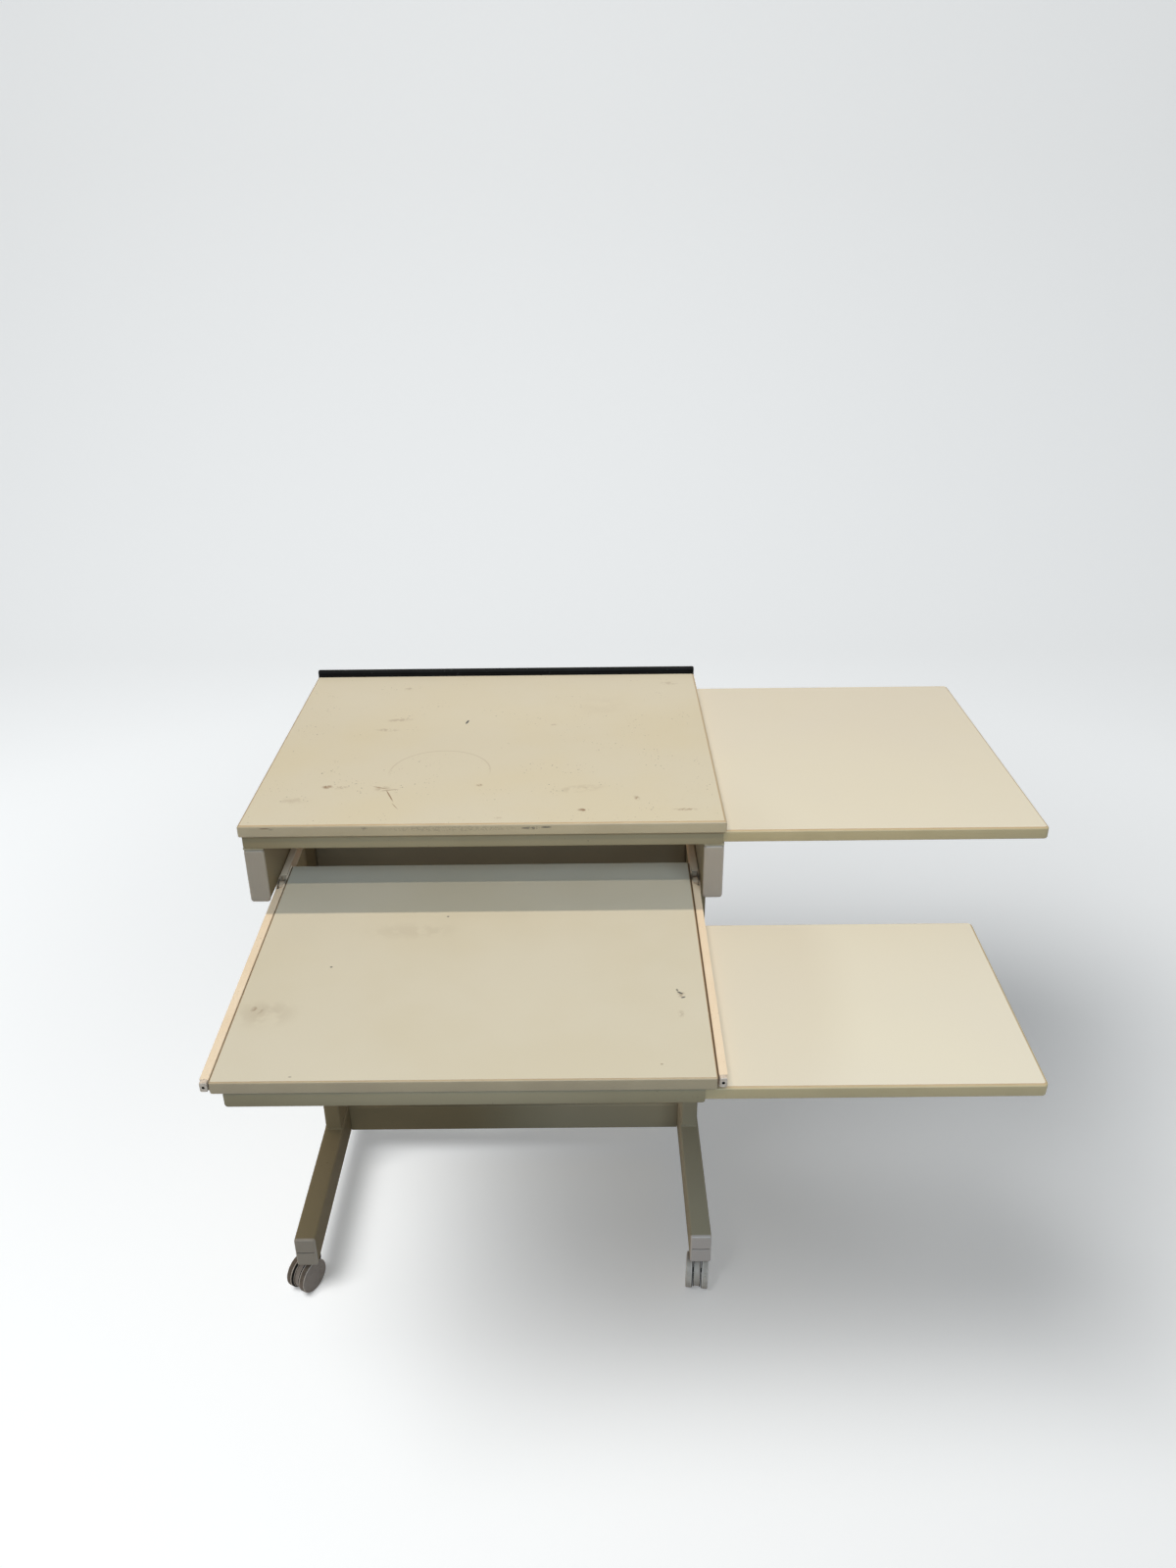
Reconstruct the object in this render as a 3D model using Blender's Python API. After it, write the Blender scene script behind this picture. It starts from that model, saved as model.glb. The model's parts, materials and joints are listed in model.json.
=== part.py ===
"""Mobile computer desk, in metres, +Z up, standing on the floor at Z = 0.

A laminate top stands on two T-shaped steel legs with twin-wheel casters. A leaf
slides out to the right from guide channels under the top. A keyboard tray hangs
between the arms on roller runners, and carries a second leaf under it. The tray
and both leaves are shown pulled out.

The desk is laid out from the middle of the top's front edge: X to the right,
Y to the back. The whole is then set so that its bounding box stands centred on
the origin.
"""
import math

import bmesh
import bpy

# Driving dimensions: the top and the leaf under it
DESK_HEIGHT = 0.770
TOP_WIDTH = 0.600
TOP_DEPTH = 0.505
TOP_THICKNESS = 0.016
BOARD_ROUND = 0.0018
TOP_CORNER = 0.002
STRIP_DEPTH = 0.0095
STRIP_RISE = 0.0097
STRIP_SKIRT = 0.014
LEAF_THICKNESS = 0.016
LEAF_CORNER = 0.006
UPPER_LEAF_WIDTH = 0.560
UPPER_LEAF_SHORTER = 0.029
UPPER_LEAF_OUT = 0.400

# Guide channels, bent from sheet
SHEET = 0.0012
BEND = 0.0018
CHANNEL_FLANGE = 0.030
UPPER_CHANNEL_SETBACK = 0.006
UPPER_CHANNEL_INSET = 0.003
TRAY_CHANNEL_SETBACK = 0.0015
TRAY_CHANNEL_INSET = 0.013

# Legs: arm, column and foot of each side stand in one upright plane
LEG_INSET = 0.0135
TUBE_WALL = 0.0016
TUBE_CORNER = 0.003
BEARER_THICKNESS = 0.003
ARM_WIDTH = 0.025
ARM_HEIGHT = 0.073
ARM_FRONT = 0.009
ARM_REAR_SETBACK = 0.012
COLUMN_DEPTH = 0.076
COLUMN_FRONT = 0.199
FOOT_WIDTH = 0.030
FOOT_HEIGHT = 0.050
FOOT_FRONT = -0.031
FOOT_LENGTH = 0.536
CAP_THICKNESS = 0.004
CAP_PLUG = 0.012
CAP_ROUND = 0.002
GROOVE_HEIGHT = 0.0012
GROOVE_DEPTH = 0.0012
GROOVE_WIDTH = 0.020
CROSS_SETBACK = 0.051
STRETCHER_DEPTH = 0.025
PANEL_THICKNESS = 0.016
PANEL_BELOW_ARM = 0.0331
PANEL_HEIGHT = 0.265

# Keyboard tray, its runners and the leaf under it
TRAY_TILT = math.radians(2.7)
TRAY_REACH = 0.324
TRAY_FRONT_BELOW_ARM = 0.0125
TRAY_DEPTH = 0.410
TRAY_THICKNESS = 0.016
TRAY_CORNER = 0.003
SLIDE_SPACE = 0.0118
RUNNER_SHEET = 0.0010
RUNNER_EDGE = 0.0008
RUNNER_END = 0.0055
RUNNER_END_HEIGHT = 0.0125
RUNNER_END_INSET = 0.0007
RUNNER_END_HOLE = 0.0017
RUNNER_FLANGE_END = 0.0030
NOTCH_LENGTH = 0.034
NOTCH_TAPER = 0.006
NOTCH_FLANGE = 0.0010
CABINET_RUNNER_LENGTH = 0.400
CABINET_NOSE = 0.032
CABINET_NOSE_SHARE = 0.4
ROLLER_FROM_END = 0.012
ROLLER_SPACING = 0.024
ROLLER_EDGE = 0.0005
PIN_RADIUS = 0.0020
LOWER_LEAF_WIDTH = 0.500
LOWER_LEAF_DEPTH = 0.2885
LOWER_LEAF_OUT = 0.343

# Casters
CASTER_HEIGHT = 0.059
CASTER_FROM_END = 0.036
CASTER_TRAIL = 0.0195
WHEEL_RADIUS = 0.025
WHEEL_WIDTH = 0.0105
WHEEL_ROUND = 0.0035
WHEEL_DISH = 0.0007
HUB_RADIUS = 0.008
RIM_THICKNESS = 0.004
WEB_RECESS = 0.0015
BODY_WIDTH = 0.0113
BODY_RADIUS = 0.0230
BODY_ROUND = 0.001
BOSS_RADIUS = 0.009
AXLE_RADIUS = 0.003
AXLE_BITE = 0.0075
STEM_RADIUS = 0.005
STEM_IN_FOOT = 0.022
PIVOT_RADIUS = 0.004
PIVOT_LENGTH = 0.021
FLANGE_RADIUS = 0.009
FLANGE_THICKNESS = 0.003
CASTER_TURNS = {
    "front_left": math.radians(-29.5),
    "front_right": math.radians(-7.0),
    "rear_left": math.radians(-150.0),
    "rear_right": math.radians(160.0),
}

# Named clearances
SEAT_GAP = 0.0003
LEAF_PLAY = 0.0003
LEAF_SIDE_PLAY = 0.002
RUNNER_PLAY = 0.0009
RUNNER_RISE = 0.0004
ROLLER_GAP = 0.0003
BORE_GAP = 0.0002
WHEEL_GAP = 0.0006
CUT_PAST = 0.001

# Roundness
CORNER_STEPS = 3
ROUND_STEPS = 2
TURN_STEPS = 20
WHEEL_STEPS = 28
BODY_ARC_STEPS = 20
BODY_ARC_START = math.radians(-10.0)
BODY_ARC_END = math.radians(-250.0)
SMOOTH_ANGLE = math.radians(35.0)

# Heights and places worked out from the driving dimensions
TOP_UNDERSIDE = DESK_HEIGHT - TOP_THICKNESS
CHANNEL_HEIGHT = LEAF_THICKNESS + 2 * (LEAF_PLAY + SHEET)
UPPER_CHANNEL_TOP = TOP_UNDERSIDE - SEAT_GAP
UPPER_CHANNEL_BOTTOM = UPPER_CHANNEL_TOP - CHANNEL_HEIGHT
BEARER_TOP = UPPER_CHANNEL_BOTTOM - SEAT_GAP
ARM_TOP = BEARER_TOP - BEARER_THICKNESS - SEAT_GAP
ARM_BOTTOM = ARM_TOP - ARM_HEIGHT
FOOT_TOP = CASTER_HEIGHT + FOOT_HEIGHT
LEG_X = TOP_WIDTH / 2 - LEG_INSET
ARM_INNER = LEG_X - ARM_WIDTH / 2
CROSS_FRONT = COLUMN_FRONT + CROSS_SETBACK
PANEL_TOP = ARM_BOTTOM - PANEL_BELOW_ARM

UPPER_CHANNEL_HALF = TOP_WIDTH / 2 - UPPER_CHANNEL_INSET
UPPER_LEAF_FRONT = UPPER_CHANNEL_SETBACK + SHEET + LEAF_SIDE_PLAY
UPPER_LEAF_BACK = UPPER_LEAF_FRONT + TOP_DEPTH - UPPER_LEAF_SHORTER
UPPER_CHANNEL_REAR = UPPER_LEAF_BACK + LEAF_SIDE_PLAY + SHEET
UPPER_LEAF_TOP = UPPER_CHANNEL_TOP - SHEET - LEAF_PLAY
UPPER_LEAF_END = TOP_WIDTH / 2 + UPPER_LEAF_OUT
STRIP_REAR = TOP_DEPTH + SEAT_GAP + STRIP_DEPTH

TRAY_HALF = ARM_INNER - SLIDE_SPACE
TRAY_FRONT_Z = ARM_BOTTOM - TRAY_FRONT_BELOW_ARM
TRAY_CHANNEL_TOP = -TRAY_THICKNESS - SEAT_GAP
TRAY_CHANNEL_HALF = TRAY_HALF - TRAY_CHANNEL_INSET
LOWER_LEAF_FRONT = TRAY_CHANNEL_SETBACK + SHEET + LEAF_SIDE_PLAY
LOWER_LEAF_BACK = LOWER_LEAF_FRONT + LOWER_LEAF_DEPTH
TRAY_CHANNEL_REAR = LOWER_LEAF_BACK + LEAF_SIDE_PLAY + SHEET
LOWER_LEAF_TOP = TRAY_CHANNEL_TOP - SHEET - LEAF_PLAY
LOWER_LEAF_END = TRAY_HALF + LOWER_LEAF_OUT

# Runner section across the slide space, measured outwards from the desk's middle
DRAWER_BACK = TRAY_HALF + SEAT_GAP
DRAWER_WEB = DRAWER_BACK + RUNNER_SHEET
CABINET_BACK = ARM_INNER - SEAT_GAP
CABINET_WEB = CABINET_BACK - RUNNER_SHEET
DRAWER_TIP = CABINET_WEB - RUNNER_PLAY
CABINET_TIP = DRAWER_WEB + RUNNER_PLAY
DRAWER_TOP = -SEAT_GAP
DRAWER_BOTTOM = -TRAY_THICKNESS + RUNNER_EDGE
CABINET_TOP = DRAWER_TOP + RUNNER_RISE + RUNNER_SHEET
CABINET_BOTTOM = DRAWER_BOTTOM - RUNNER_RISE - RUNNER_SHEET
RUNNER_MIDDLE = (DRAWER_TOP + DRAWER_BOTTOM) / 2
CABINET_ROLLER_RADIUS = (DRAWER_TOP - DRAWER_BOTTOM) / 2 - RUNNER_SHEET - ROLLER_GAP
DRAWER_ROLLER_RADIUS = (CABINET_TOP - CABINET_BOTTOM) / 2 - RUNNER_SHEET - ROLLER_GAP
DRAWER_ROLLER_AT = TRAY_DEPTH - ROLLER_FROM_END
CABINET_ROLLER_AT = DRAWER_ROLLER_AT - ROLLER_SPACING
DRAWER_FLANGE_END = DRAWER_ROLLER_AT - DRAWER_ROLLER_RADIUS - RUNNER_FLANGE_END
CABINET_FLANGE_START = CABINET_ROLLER_AT + ROLLER_SPACING / 2

BODY_TOP = CASTER_HEIGHT - FLANGE_THICKNESS - 2 * SEAT_GAP
WHEEL_FACE = BODY_WIDTH / 2 + WHEEL_GAP

SIDES = {"left": -1, "right": 1}
PLACES = {
    "X": lambda a, b, along: (along, a, b),
    "Y": lambda a, b, along: (a, along, b),
    "Z": lambda a, b, along: (a, b, along),
}


def clear_scene():
    """Remove every object that the file starts with."""
    for leftover in list(bpy.data.objects):
        bpy.data.objects.remove(leftover, do_unlink=True)


def make_finish(name, colour, roughness, metallic=0.0):
    """A plain surface of one colour."""
    material = bpy.data.materials.new(name)
    material.use_nodes = True
    surface = material.node_tree.nodes["Principled BSDF"]
    surface.inputs["Base Color"].default_value = (*colour, 1.0)
    surface.inputs["Roughness"].default_value = roughness
    surface.inputs["Metallic"].default_value = metallic
    return material


def make_empty(name, parent=None, location=(0, 0, 0), rotation=(0, 0, 0)):
    """A reference frame that pieces are placed in."""
    frame = bpy.data.objects.new(name, None)
    frame.parent = parent
    frame.location = location
    frame.rotation_euler = rotation
    bpy.context.collection.objects.link(frame)
    return frame


def add_piece(name, shape, finish, parent, location=(0, 0, 0)):
    """Turn a worked shape into a named piece with its faces pointing out."""
    bmesh.ops.recalc_face_normals(shape, faces=shape.faces)
    mesh = bpy.data.meshes.new(name)
    shape.to_mesh(mesh)
    shape.free()
    mesh.shade_smooth()
    mesh.set_sharp_from_angle(angle=SMOOTH_ANGLE)
    piece = bpy.data.objects.new(name, mesh)
    piece.parent = parent
    piece.location = location
    if finish is not None:
        mesh.materials.append(finish)
    bpy.context.collection.objects.link(piece)
    return piece


def combine(piece, name, shape, operation):
    """Cut a shape from a piece, or join one to it, with a guide that isn't part of the desk."""
    guide = add_piece(name, shape, None, piece.parent, piece.location)
    guide.hide_render = True
    guide.display_type = "WIRE"
    modifier = piece.modifiers.new(name, "BOOLEAN")
    modifier.operation = operation
    modifier.solver = "EXACT"
    modifier.object = guide


def rounded_outline(low_a, high_a, low_b, high_b, radius, steps=CORNER_STEPS):
    """The outline of a rectangle with round corners, anticlockwise."""
    centres = (
        (high_a - radius, low_b + radius, -90),
        (high_a - radius, high_b - radius, 0),
        (low_a + radius, high_b - radius, 90),
        (low_a + radius, low_b + radius, 180),
    )
    points = []
    for middle_a, middle_b, first in centres:
        for step in range(steps + 1):
            angle = math.radians(first + 90 * step / steps)
            points.append((middle_a + radius * math.cos(angle), middle_b + radius * math.sin(angle)))
    return points


def circle_outline(radius, steps, middle_a=0.0, middle_b=0.0, first=-90):
    """A circle as evenly spaced points, anticlockwise."""
    angles = [math.radians(first + 360 * (step + 0.5) / steps) for step in range(steps)]
    return [(middle_a + radius * math.cos(t), middle_b + radius * math.sin(t)) for t in angles]


def channel_outline(back, tip, low, high, sheet):
    """A C section: the outer face of its web at back, its flanges ending at tip."""
    inner = back + math.copysign(sheet, tip - back)
    return [
        (back, low), (tip, low), (tip, low + sheet), (inner, low + sheet),
        (inner, high - sheet), (tip, high - sheet), (tip, high), (back, high),
    ]


def prism(outline, axis, start, end):
    """A closed outline carried straight along an axis."""
    place = PLACES[axis]
    shape = bmesh.new()
    face = shape.faces.new([shape.verts.new(place(a, b, start)) for a, b in outline])
    grown = bmesh.ops.extrude_face_region(shape, geom=[face])
    moved = [part for part in grown["geom"] if isinstance(part, bmesh.types.BMVert)]
    bmesh.ops.translate(shape, verts=moved, vec=place(0, 0, end - start))
    return shape


def hollow_prism(outer, inner, axis, start, end):
    """A tube between two outlines that have the same number of points."""
    place = PLACES[axis]
    shape = bmesh.new()

    def ring(outline, along):
        return [shape.verts.new(place(a, b, along)) for a, b in outline]

    rings = [ring(outer, start), ring(outer, end), ring(inner, end), ring(inner, start)]
    count = len(outer)
    for here, there in zip(rings, rings[1:] + rings[:1]):
        for step in range(count):
            after = (step + 1) % count
            shape.faces.new((here[step], here[after], there[after], there[step]))
    return shape


def turned(profile, axis, steps=TURN_STEPS, closed=False):
    """A profile of (radius, height along the axis) points, spun round the axis.

    The facets stand outside the true circle, with the middle of one of them straight across from it.
    """
    place = PLACES[axis]
    shape = bmesh.new()
    half_step = math.pi / steps
    line = []
    for radius, height in profile:
        line.append(shape.verts.new(place(radius, radius * math.tan(half_step), height)))
    edges = [shape.edges.new(pair) for pair in zip(line, line[1:])]
    if closed:
        edges.append(shape.edges.new((line[-1], line[0])))
    bmesh.ops.spin(
        shape, geom=line + edges, cent=(0, 0, 0), axis=place(0, 0, 1), angle=2 * math.pi, steps=steps
    )
    bmesh.ops.remove_doubles(shape, verts=shape.verts, dist=1e-6)
    return shape


def round_edges(shape, chosen, radius, steps=ROUND_STEPS):
    """Round the edges whose two ends both pass a test."""
    edges = [edge for edge in shape.edges if all(chosen(vert.co) for vert in edge.verts)]
    bmesh.ops.bevel(
        shape, geom=edges, offset=radius, offset_type="OFFSET", segments=steps, profile=0.5,
        affect="EDGES", clamp_overlap=True,
    )


def near(value, target):
    """Whether a coordinate is the wanted one."""
    return abs(value - target) < 1e-6


def board(low, high, corner):
    """A flat board with round corners in plan and softly rounded rims."""
    shape = prism(rounded_outline(low[0], high[0], low[1], high[1], corner), "Z", low[2], high[2])
    for level in (low[2], high[2]):
        round_edges(shape, lambda point, level=level: near(point.z, level), BOARD_ROUND)
    return shape


def guide_channel(half, back, tip, top):
    """A sheet channel along X that a leaf's edge slides in."""
    low = top - CHANNEL_HEIGHT
    shape = prism(channel_outline(back, tip, low, top, SHEET), "X", -half, half)

    def bend(point):
        return near(point.y, back) and (near(point.z, low) or near(point.z, top))

    edges = [edge for edge in shape.edges if all(bend(vert.co) for vert in edge.verts)]
    along = [edge for edge in edges if near(edge.verts[0].co.z, edge.verts[1].co.z)]
    bmesh.ops.bevel(
        shape, geom=along, offset=BEND, offset_type="OFFSET", segments=ROUND_STEPS, profile=0.5,
        affect="EDGES", clamp_overlap=True,
    )
    return shape


def tube(width, height, middle_x, low_z, start, end):
    """A rectangular steel tube along Y."""
    low_x, high_x = middle_x - width / 2, middle_x + width / 2
    outer = rounded_outline(low_x, high_x, low_z, low_z + height, TUBE_CORNER)
    inner = rounded_outline(
        low_x + TUBE_WALL, high_x - TUBE_WALL, low_z + TUBE_WALL, low_z + height - TUBE_WALL,
        TUBE_CORNER - TUBE_WALL,
    )
    return hollow_prism(outer, inner, "Y", start, end)


def end_cap(width, height, middle_x, low_z, outside, direction):
    """A moulded cap with a plug for a tube's bore. Its face is at outside, and direction leads in."""
    back = outside + direction * CAP_THICKNESS
    outline = rounded_outline(
        middle_x - width / 2, middle_x + width / 2, low_z, low_z + height, TUBE_CORNER
    )
    shape = prism(outline, "Y", outside, back)
    round_edges(shape, lambda point: near(point.y, outside), CAP_ROUND)
    shape.faces.ensure_lookup_table()
    rear = [face for face in shape.faces if all(near(vert.co.y, back) for vert in face.verts)]
    bmesh.ops.inset_region(shape, faces=rear, thickness=TUBE_WALL + SEAT_GAP)
    grown = bmesh.ops.extrude_face_region(shape, geom=rear)
    moved = [part for part in grown["geom"] if isinstance(part, bmesh.types.BMVert)]
    bmesh.ops.delete(shape, geom=rear, context="FACES_ONLY")
    bmesh.ops.translate(shape, verts=moved, vec=(0, direction * CAP_PLUG, 0))
    return shape


def runner(side, back, stations, low, high, web_end=None):
    """A roller runner: a C section carried along its length.

    Each station is (place along the runner, tip of the top flange, tip of the bottom flange).
    web_end is (place, share of the height kept there), where the web runs on without flanges:
    before the first station or after the last one.
    """
    inward = math.copysign(RUNNER_SHEET, stations[0][1] - back)
    inner = back + inward
    shape = bmesh.new()
    rings = []
    for along, top_tip, bottom_tip in stations:
        section = [
            (back, low), (bottom_tip, low), (bottom_tip, low + RUNNER_SHEET), (inner, low + RUNNER_SHEET),
            (inner, high - RUNNER_SHEET), (top_tip, high - RUNNER_SHEET), (top_tip, high), (back, high),
        ]
        rings.append([shape.verts.new((side * a, along, b)) for a, b in section])
    for here, there in zip(rings, rings[1:]):
        for step in range(len(here)):
            after = (step + 1) % len(here)
            shape.faces.new((here[step], here[after], there[after], there[step]))
    for ring in (rings[0], rings[-1]):
        shape.faces.new((ring[0], ring[1], ring[2], ring[3]))
        shape.faces.new((ring[4], ring[5], ring[6], ring[7]))
    bare = rings[0] if web_end[0] < stations[0][0] else rings[-1]
    closed = rings[-1] if bare is rings[0] else rings[0]
    shape.faces.new((closed[0], closed[3], closed[4], closed[7]))
    middle = (low + high) / 2
    ends = []
    for vert in (bare[0], bare[3], bare[4], bare[7]):
        ends.append(shape.verts.new((vert.co.x, web_end[0], middle + web_end[1] * (vert.co.z - middle))))
    web = (bare[0], bare[3], bare[4], bare[7])
    for step in range(4):
        after = (step + 1) % 4
        shape.faces.new((web[step], web[after], ends[after], ends[step]))
    shape.faces.new(ends)
    return shape


def roller(radius):
    """A plain plastic roller across X, bored for its pin."""
    bore = PIN_RADIUS + BORE_GAP
    half = (DRAWER_TIP - CABINET_TIP) / 2
    profile = [
        (bore, -half), (radius - ROLLER_EDGE, -half), (radius, -half + ROLLER_EDGE),
        (radius, half - ROLLER_EDGE), (radius - ROLLER_EDGE, half), (bore, half),
    ]
    return turned(profile, "X", closed=True)


def roller_pin(start, end, along, height):
    """The stub that a roller turns on, across X."""
    return prism(circle_outline(PIN_RADIUS, TURN_STEPS, along, height), "X", start, end)


def build_top(desk, finishes):
    """The top with its rear strip, and the channels and leaf under it."""
    half = TOP_WIDTH / 2
    shape = board((-half, 0, TOP_UNDERSIDE), (half, TOP_DEPTH, DESK_HEIGHT), TOP_CORNER)
    add_piece("top_board", shape, finishes["laminate"], desk)

    front = TOP_DEPTH + SEAT_GAP
    low, high = DESK_HEIGHT - STRIP_SKIRT, DESK_HEIGHT + STRIP_RISE
    crown = STRIP_DEPTH / 2
    arc = [math.radians(180 * step / (2 * CORNER_STEPS)) for step in range(2 * CORNER_STEPS + 1)]
    bead = [(front + crown + crown * math.cos(t), high - crown + crown * math.sin(t)) for t in arc]
    neck = [(front, DESK_HEIGHT + SHEET), (front + SHEET, DESK_HEIGHT), (front, DESK_HEIGHT - SHEET)]
    skirt = [(front, low), (front + crown, low), (STRIP_REAR, low + crown)]
    add_piece("rear_edge_strip", prism(bead + neck + skirt, "X", -half, half), finishes["strip"], desk)

    for name, back, direction in (
        ("upper_front_channel", UPPER_CHANNEL_SETBACK, 1), ("upper_rear_channel", UPPER_CHANNEL_REAR, -1)
    ):
        tip = back + direction * CHANNEL_FLANGE
        shape = guide_channel(UPPER_CHANNEL_HALF, back, tip, UPPER_CHANNEL_TOP)
        add_piece(name, shape, finishes["steel"], desk)
    outline = channel_outline(
        -UPPER_CHANNEL_HALF, -UPPER_CHANNEL_HALF + CHANNEL_FLANGE, UPPER_CHANNEL_BOTTOM,
        UPPER_CHANNEL_TOP, SHEET,
    )
    first = UPPER_CHANNEL_SETBACK + CHANNEL_FLANGE + SEAT_GAP
    last = UPPER_CHANNEL_REAR - CHANNEL_FLANGE - SEAT_GAP
    add_piece("upper_left_rail", prism(outline, "Y", first, last), finishes["steel"], desk)

    shape = board(
        (UPPER_LEAF_END - UPPER_LEAF_WIDTH, UPPER_LEAF_FRONT, UPPER_LEAF_TOP - LEAF_THICKNESS),
        (UPPER_LEAF_END, UPPER_LEAF_BACK, UPPER_LEAF_TOP), LEAF_CORNER,
    )
    add_piece("upper_leaf", shape, finishes["leaf"], desk)


def build_leg(desk, finishes, side_name):
    """One T-shaped leg: bearer, arm, column and foot, with the caps of their open ends."""
    side = SIDES[side_name]
    middle = side * LEG_X
    steel, plastic = finishes["steel"], finishes["cap"]
    arm_rear = TOP_DEPTH - ARM_REAR_SETBACK
    start, end = ARM_FRONT + CAP_THICKNESS + SEAT_GAP, arm_rear - CAP_THICKNESS - SEAT_GAP

    outline = rounded_outline(
        middle - ARM_WIDTH / 2, middle + ARM_WIDTH / 2, BEARER_TOP - BEARER_THICKNESS, BEARER_TOP,
        BOARD_ROUND / 5,
    )
    add_piece(f"arm_bearer_{side_name}", prism(outline, "Y", ARM_FRONT, arm_rear), steel, desk)
    add_piece(f"arm_{side_name}", tube(ARM_WIDTH, ARM_HEIGHT, middle, ARM_BOTTOM, start, end), steel, desk)
    for end_name, outside, direction in (("front", ARM_FRONT, 1), ("rear", arm_rear, -1)):
        shape = end_cap(ARM_WIDTH, ARM_HEIGHT, middle, ARM_BOTTOM, outside, direction)
        add_piece(f"arm_cap_{end_name}_{side_name}", shape, plastic, desk)

    low_x, high_x = middle - ARM_WIDTH / 2, middle + ARM_WIDTH / 2
    back = COLUMN_FRONT + COLUMN_DEPTH
    outer = rounded_outline(low_x, high_x, COLUMN_FRONT, back, TUBE_CORNER)
    inner = rounded_outline(
        low_x + TUBE_WALL, high_x - TUBE_WALL, COLUMN_FRONT + TUBE_WALL, back - TUBE_WALL,
        TUBE_CORNER - TUBE_WALL,
    )
    shape = hollow_prism(outer, inner, "Z", FOOT_TOP + SEAT_GAP, ARM_BOTTOM - SEAT_GAP)
    add_piece(f"column_{side_name}", shape, steel, desk)

    foot_rear = FOOT_FRONT + FOOT_LENGTH
    start, end = FOOT_FRONT + CAP_THICKNESS + SEAT_GAP, foot_rear - CAP_THICKNESS - SEAT_GAP
    shape = tube(FOOT_WIDTH, FOOT_HEIGHT, middle, CASTER_HEIGHT, start, end)
    foot = add_piece(f"foot_{side_name}", shape, steel, desk)
    for end_name, outside, direction in (("front", FOOT_FRONT, 1), ("rear", foot_rear, -1)):
        shape = end_cap(FOOT_WIDTH, FOOT_HEIGHT, middle, CASTER_HEIGHT, outside, direction)
        cap = add_piece(f"foot_cap_{end_name}_{side_name}", shape, plastic, desk)
        level = CASTER_HEIGHT + FOOT_HEIGHT / 2
        groove = rounded_outline(
            middle - GROOVE_WIDTH / 2, middle + GROOVE_WIDTH / 2, level - GROOVE_HEIGHT / 2,
            level + GROOVE_HEIGHT / 2, GROOVE_HEIGHT / 2,
        )
        bottom = outside + direction * GROOVE_DEPTH
        shape = prism(groove, "Y", outside - direction * CUT_PAST, bottom)
        combine(cap, f"groove_{end_name}_{side_name}", shape, "DIFFERENCE")
        stem_y = outside + direction * CASTER_FROM_END
        hole = circle_outline(STEM_RADIUS + SEAT_GAP, TURN_STEPS, middle, stem_y)
        shape = prism(hole, "Z", CASTER_HEIGHT - CUT_PAST, CASTER_HEIGHT + TUBE_WALL + CUT_PAST)
        combine(foot, f"stem_hole_{end_name}_{side_name}", shape, "DIFFERENCE")


def build_cross_pieces(desk, finishes):
    """The stretcher between the feet and the modesty panel between the columns."""
    half = LEG_X - FOOT_WIDTH / 2 - SEAT_GAP
    rear = CROSS_FRONT + STRETCHER_DEPTH
    outer = rounded_outline(CROSS_FRONT, rear, CASTER_HEIGHT, FOOT_TOP, TUBE_CORNER)
    inner = rounded_outline(
        CROSS_FRONT + TUBE_WALL, rear - TUBE_WALL, CASTER_HEIGHT + TUBE_WALL, FOOT_TOP - TUBE_WALL,
        TUBE_CORNER - TUBE_WALL,
    )
    add_piece("stretcher", hollow_prism(outer, inner, "X", -half, half), finishes["steel"], desk)
    half = ARM_INNER - SEAT_GAP
    shape = board(
        (-half, CROSS_FRONT, PANEL_TOP - PANEL_HEIGHT),
        (half, CROSS_FRONT + PANEL_THICKNESS, PANEL_TOP), TOP_CORNER,
    )
    add_piece("modesty_panel", shape, finishes["panel"], desk)


def build_cabinet_runners(slope, finishes):
    """The fixed runners on the arms, each with a roller at its front end."""
    start = CABINET_ROLLER_AT - CABINET_NOSE + ROLLER_SPACING / 2
    for side_name, side in SIDES.items():
        stations = [
            (CABINET_FLANGE_START, CABINET_TIP, CABINET_TIP),
            (start + CABINET_RUNNER_LENGTH, CABINET_TIP, CABINET_TIP),
        ]
        shape = runner(
            side, CABINET_BACK, stations, CABINET_BOTTOM, CABINET_TOP, (start, CABINET_NOSE_SHARE)
        )
        rail = add_piece(f"cabinet_runner_{side_name}", shape, finishes["runner"], slope)
        shape = roller_pin(
            side * CABINET_TIP, side * (CABINET_WEB + RUNNER_SHEET / 2), CABINET_ROLLER_AT, RUNNER_MIDDLE
        )
        combine(rail, f"cabinet_pin_{side_name}", shape, "UNION")
        middle = side * (CABINET_TIP + DRAWER_TIP) / 2
        add_piece(
            f"cabinet_roller_{side_name}", roller(CABINET_ROLLER_RADIUS), finishes["roller"], slope,
            (middle, CABINET_ROLLER_AT, RUNNER_MIDDLE),
        )


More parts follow.
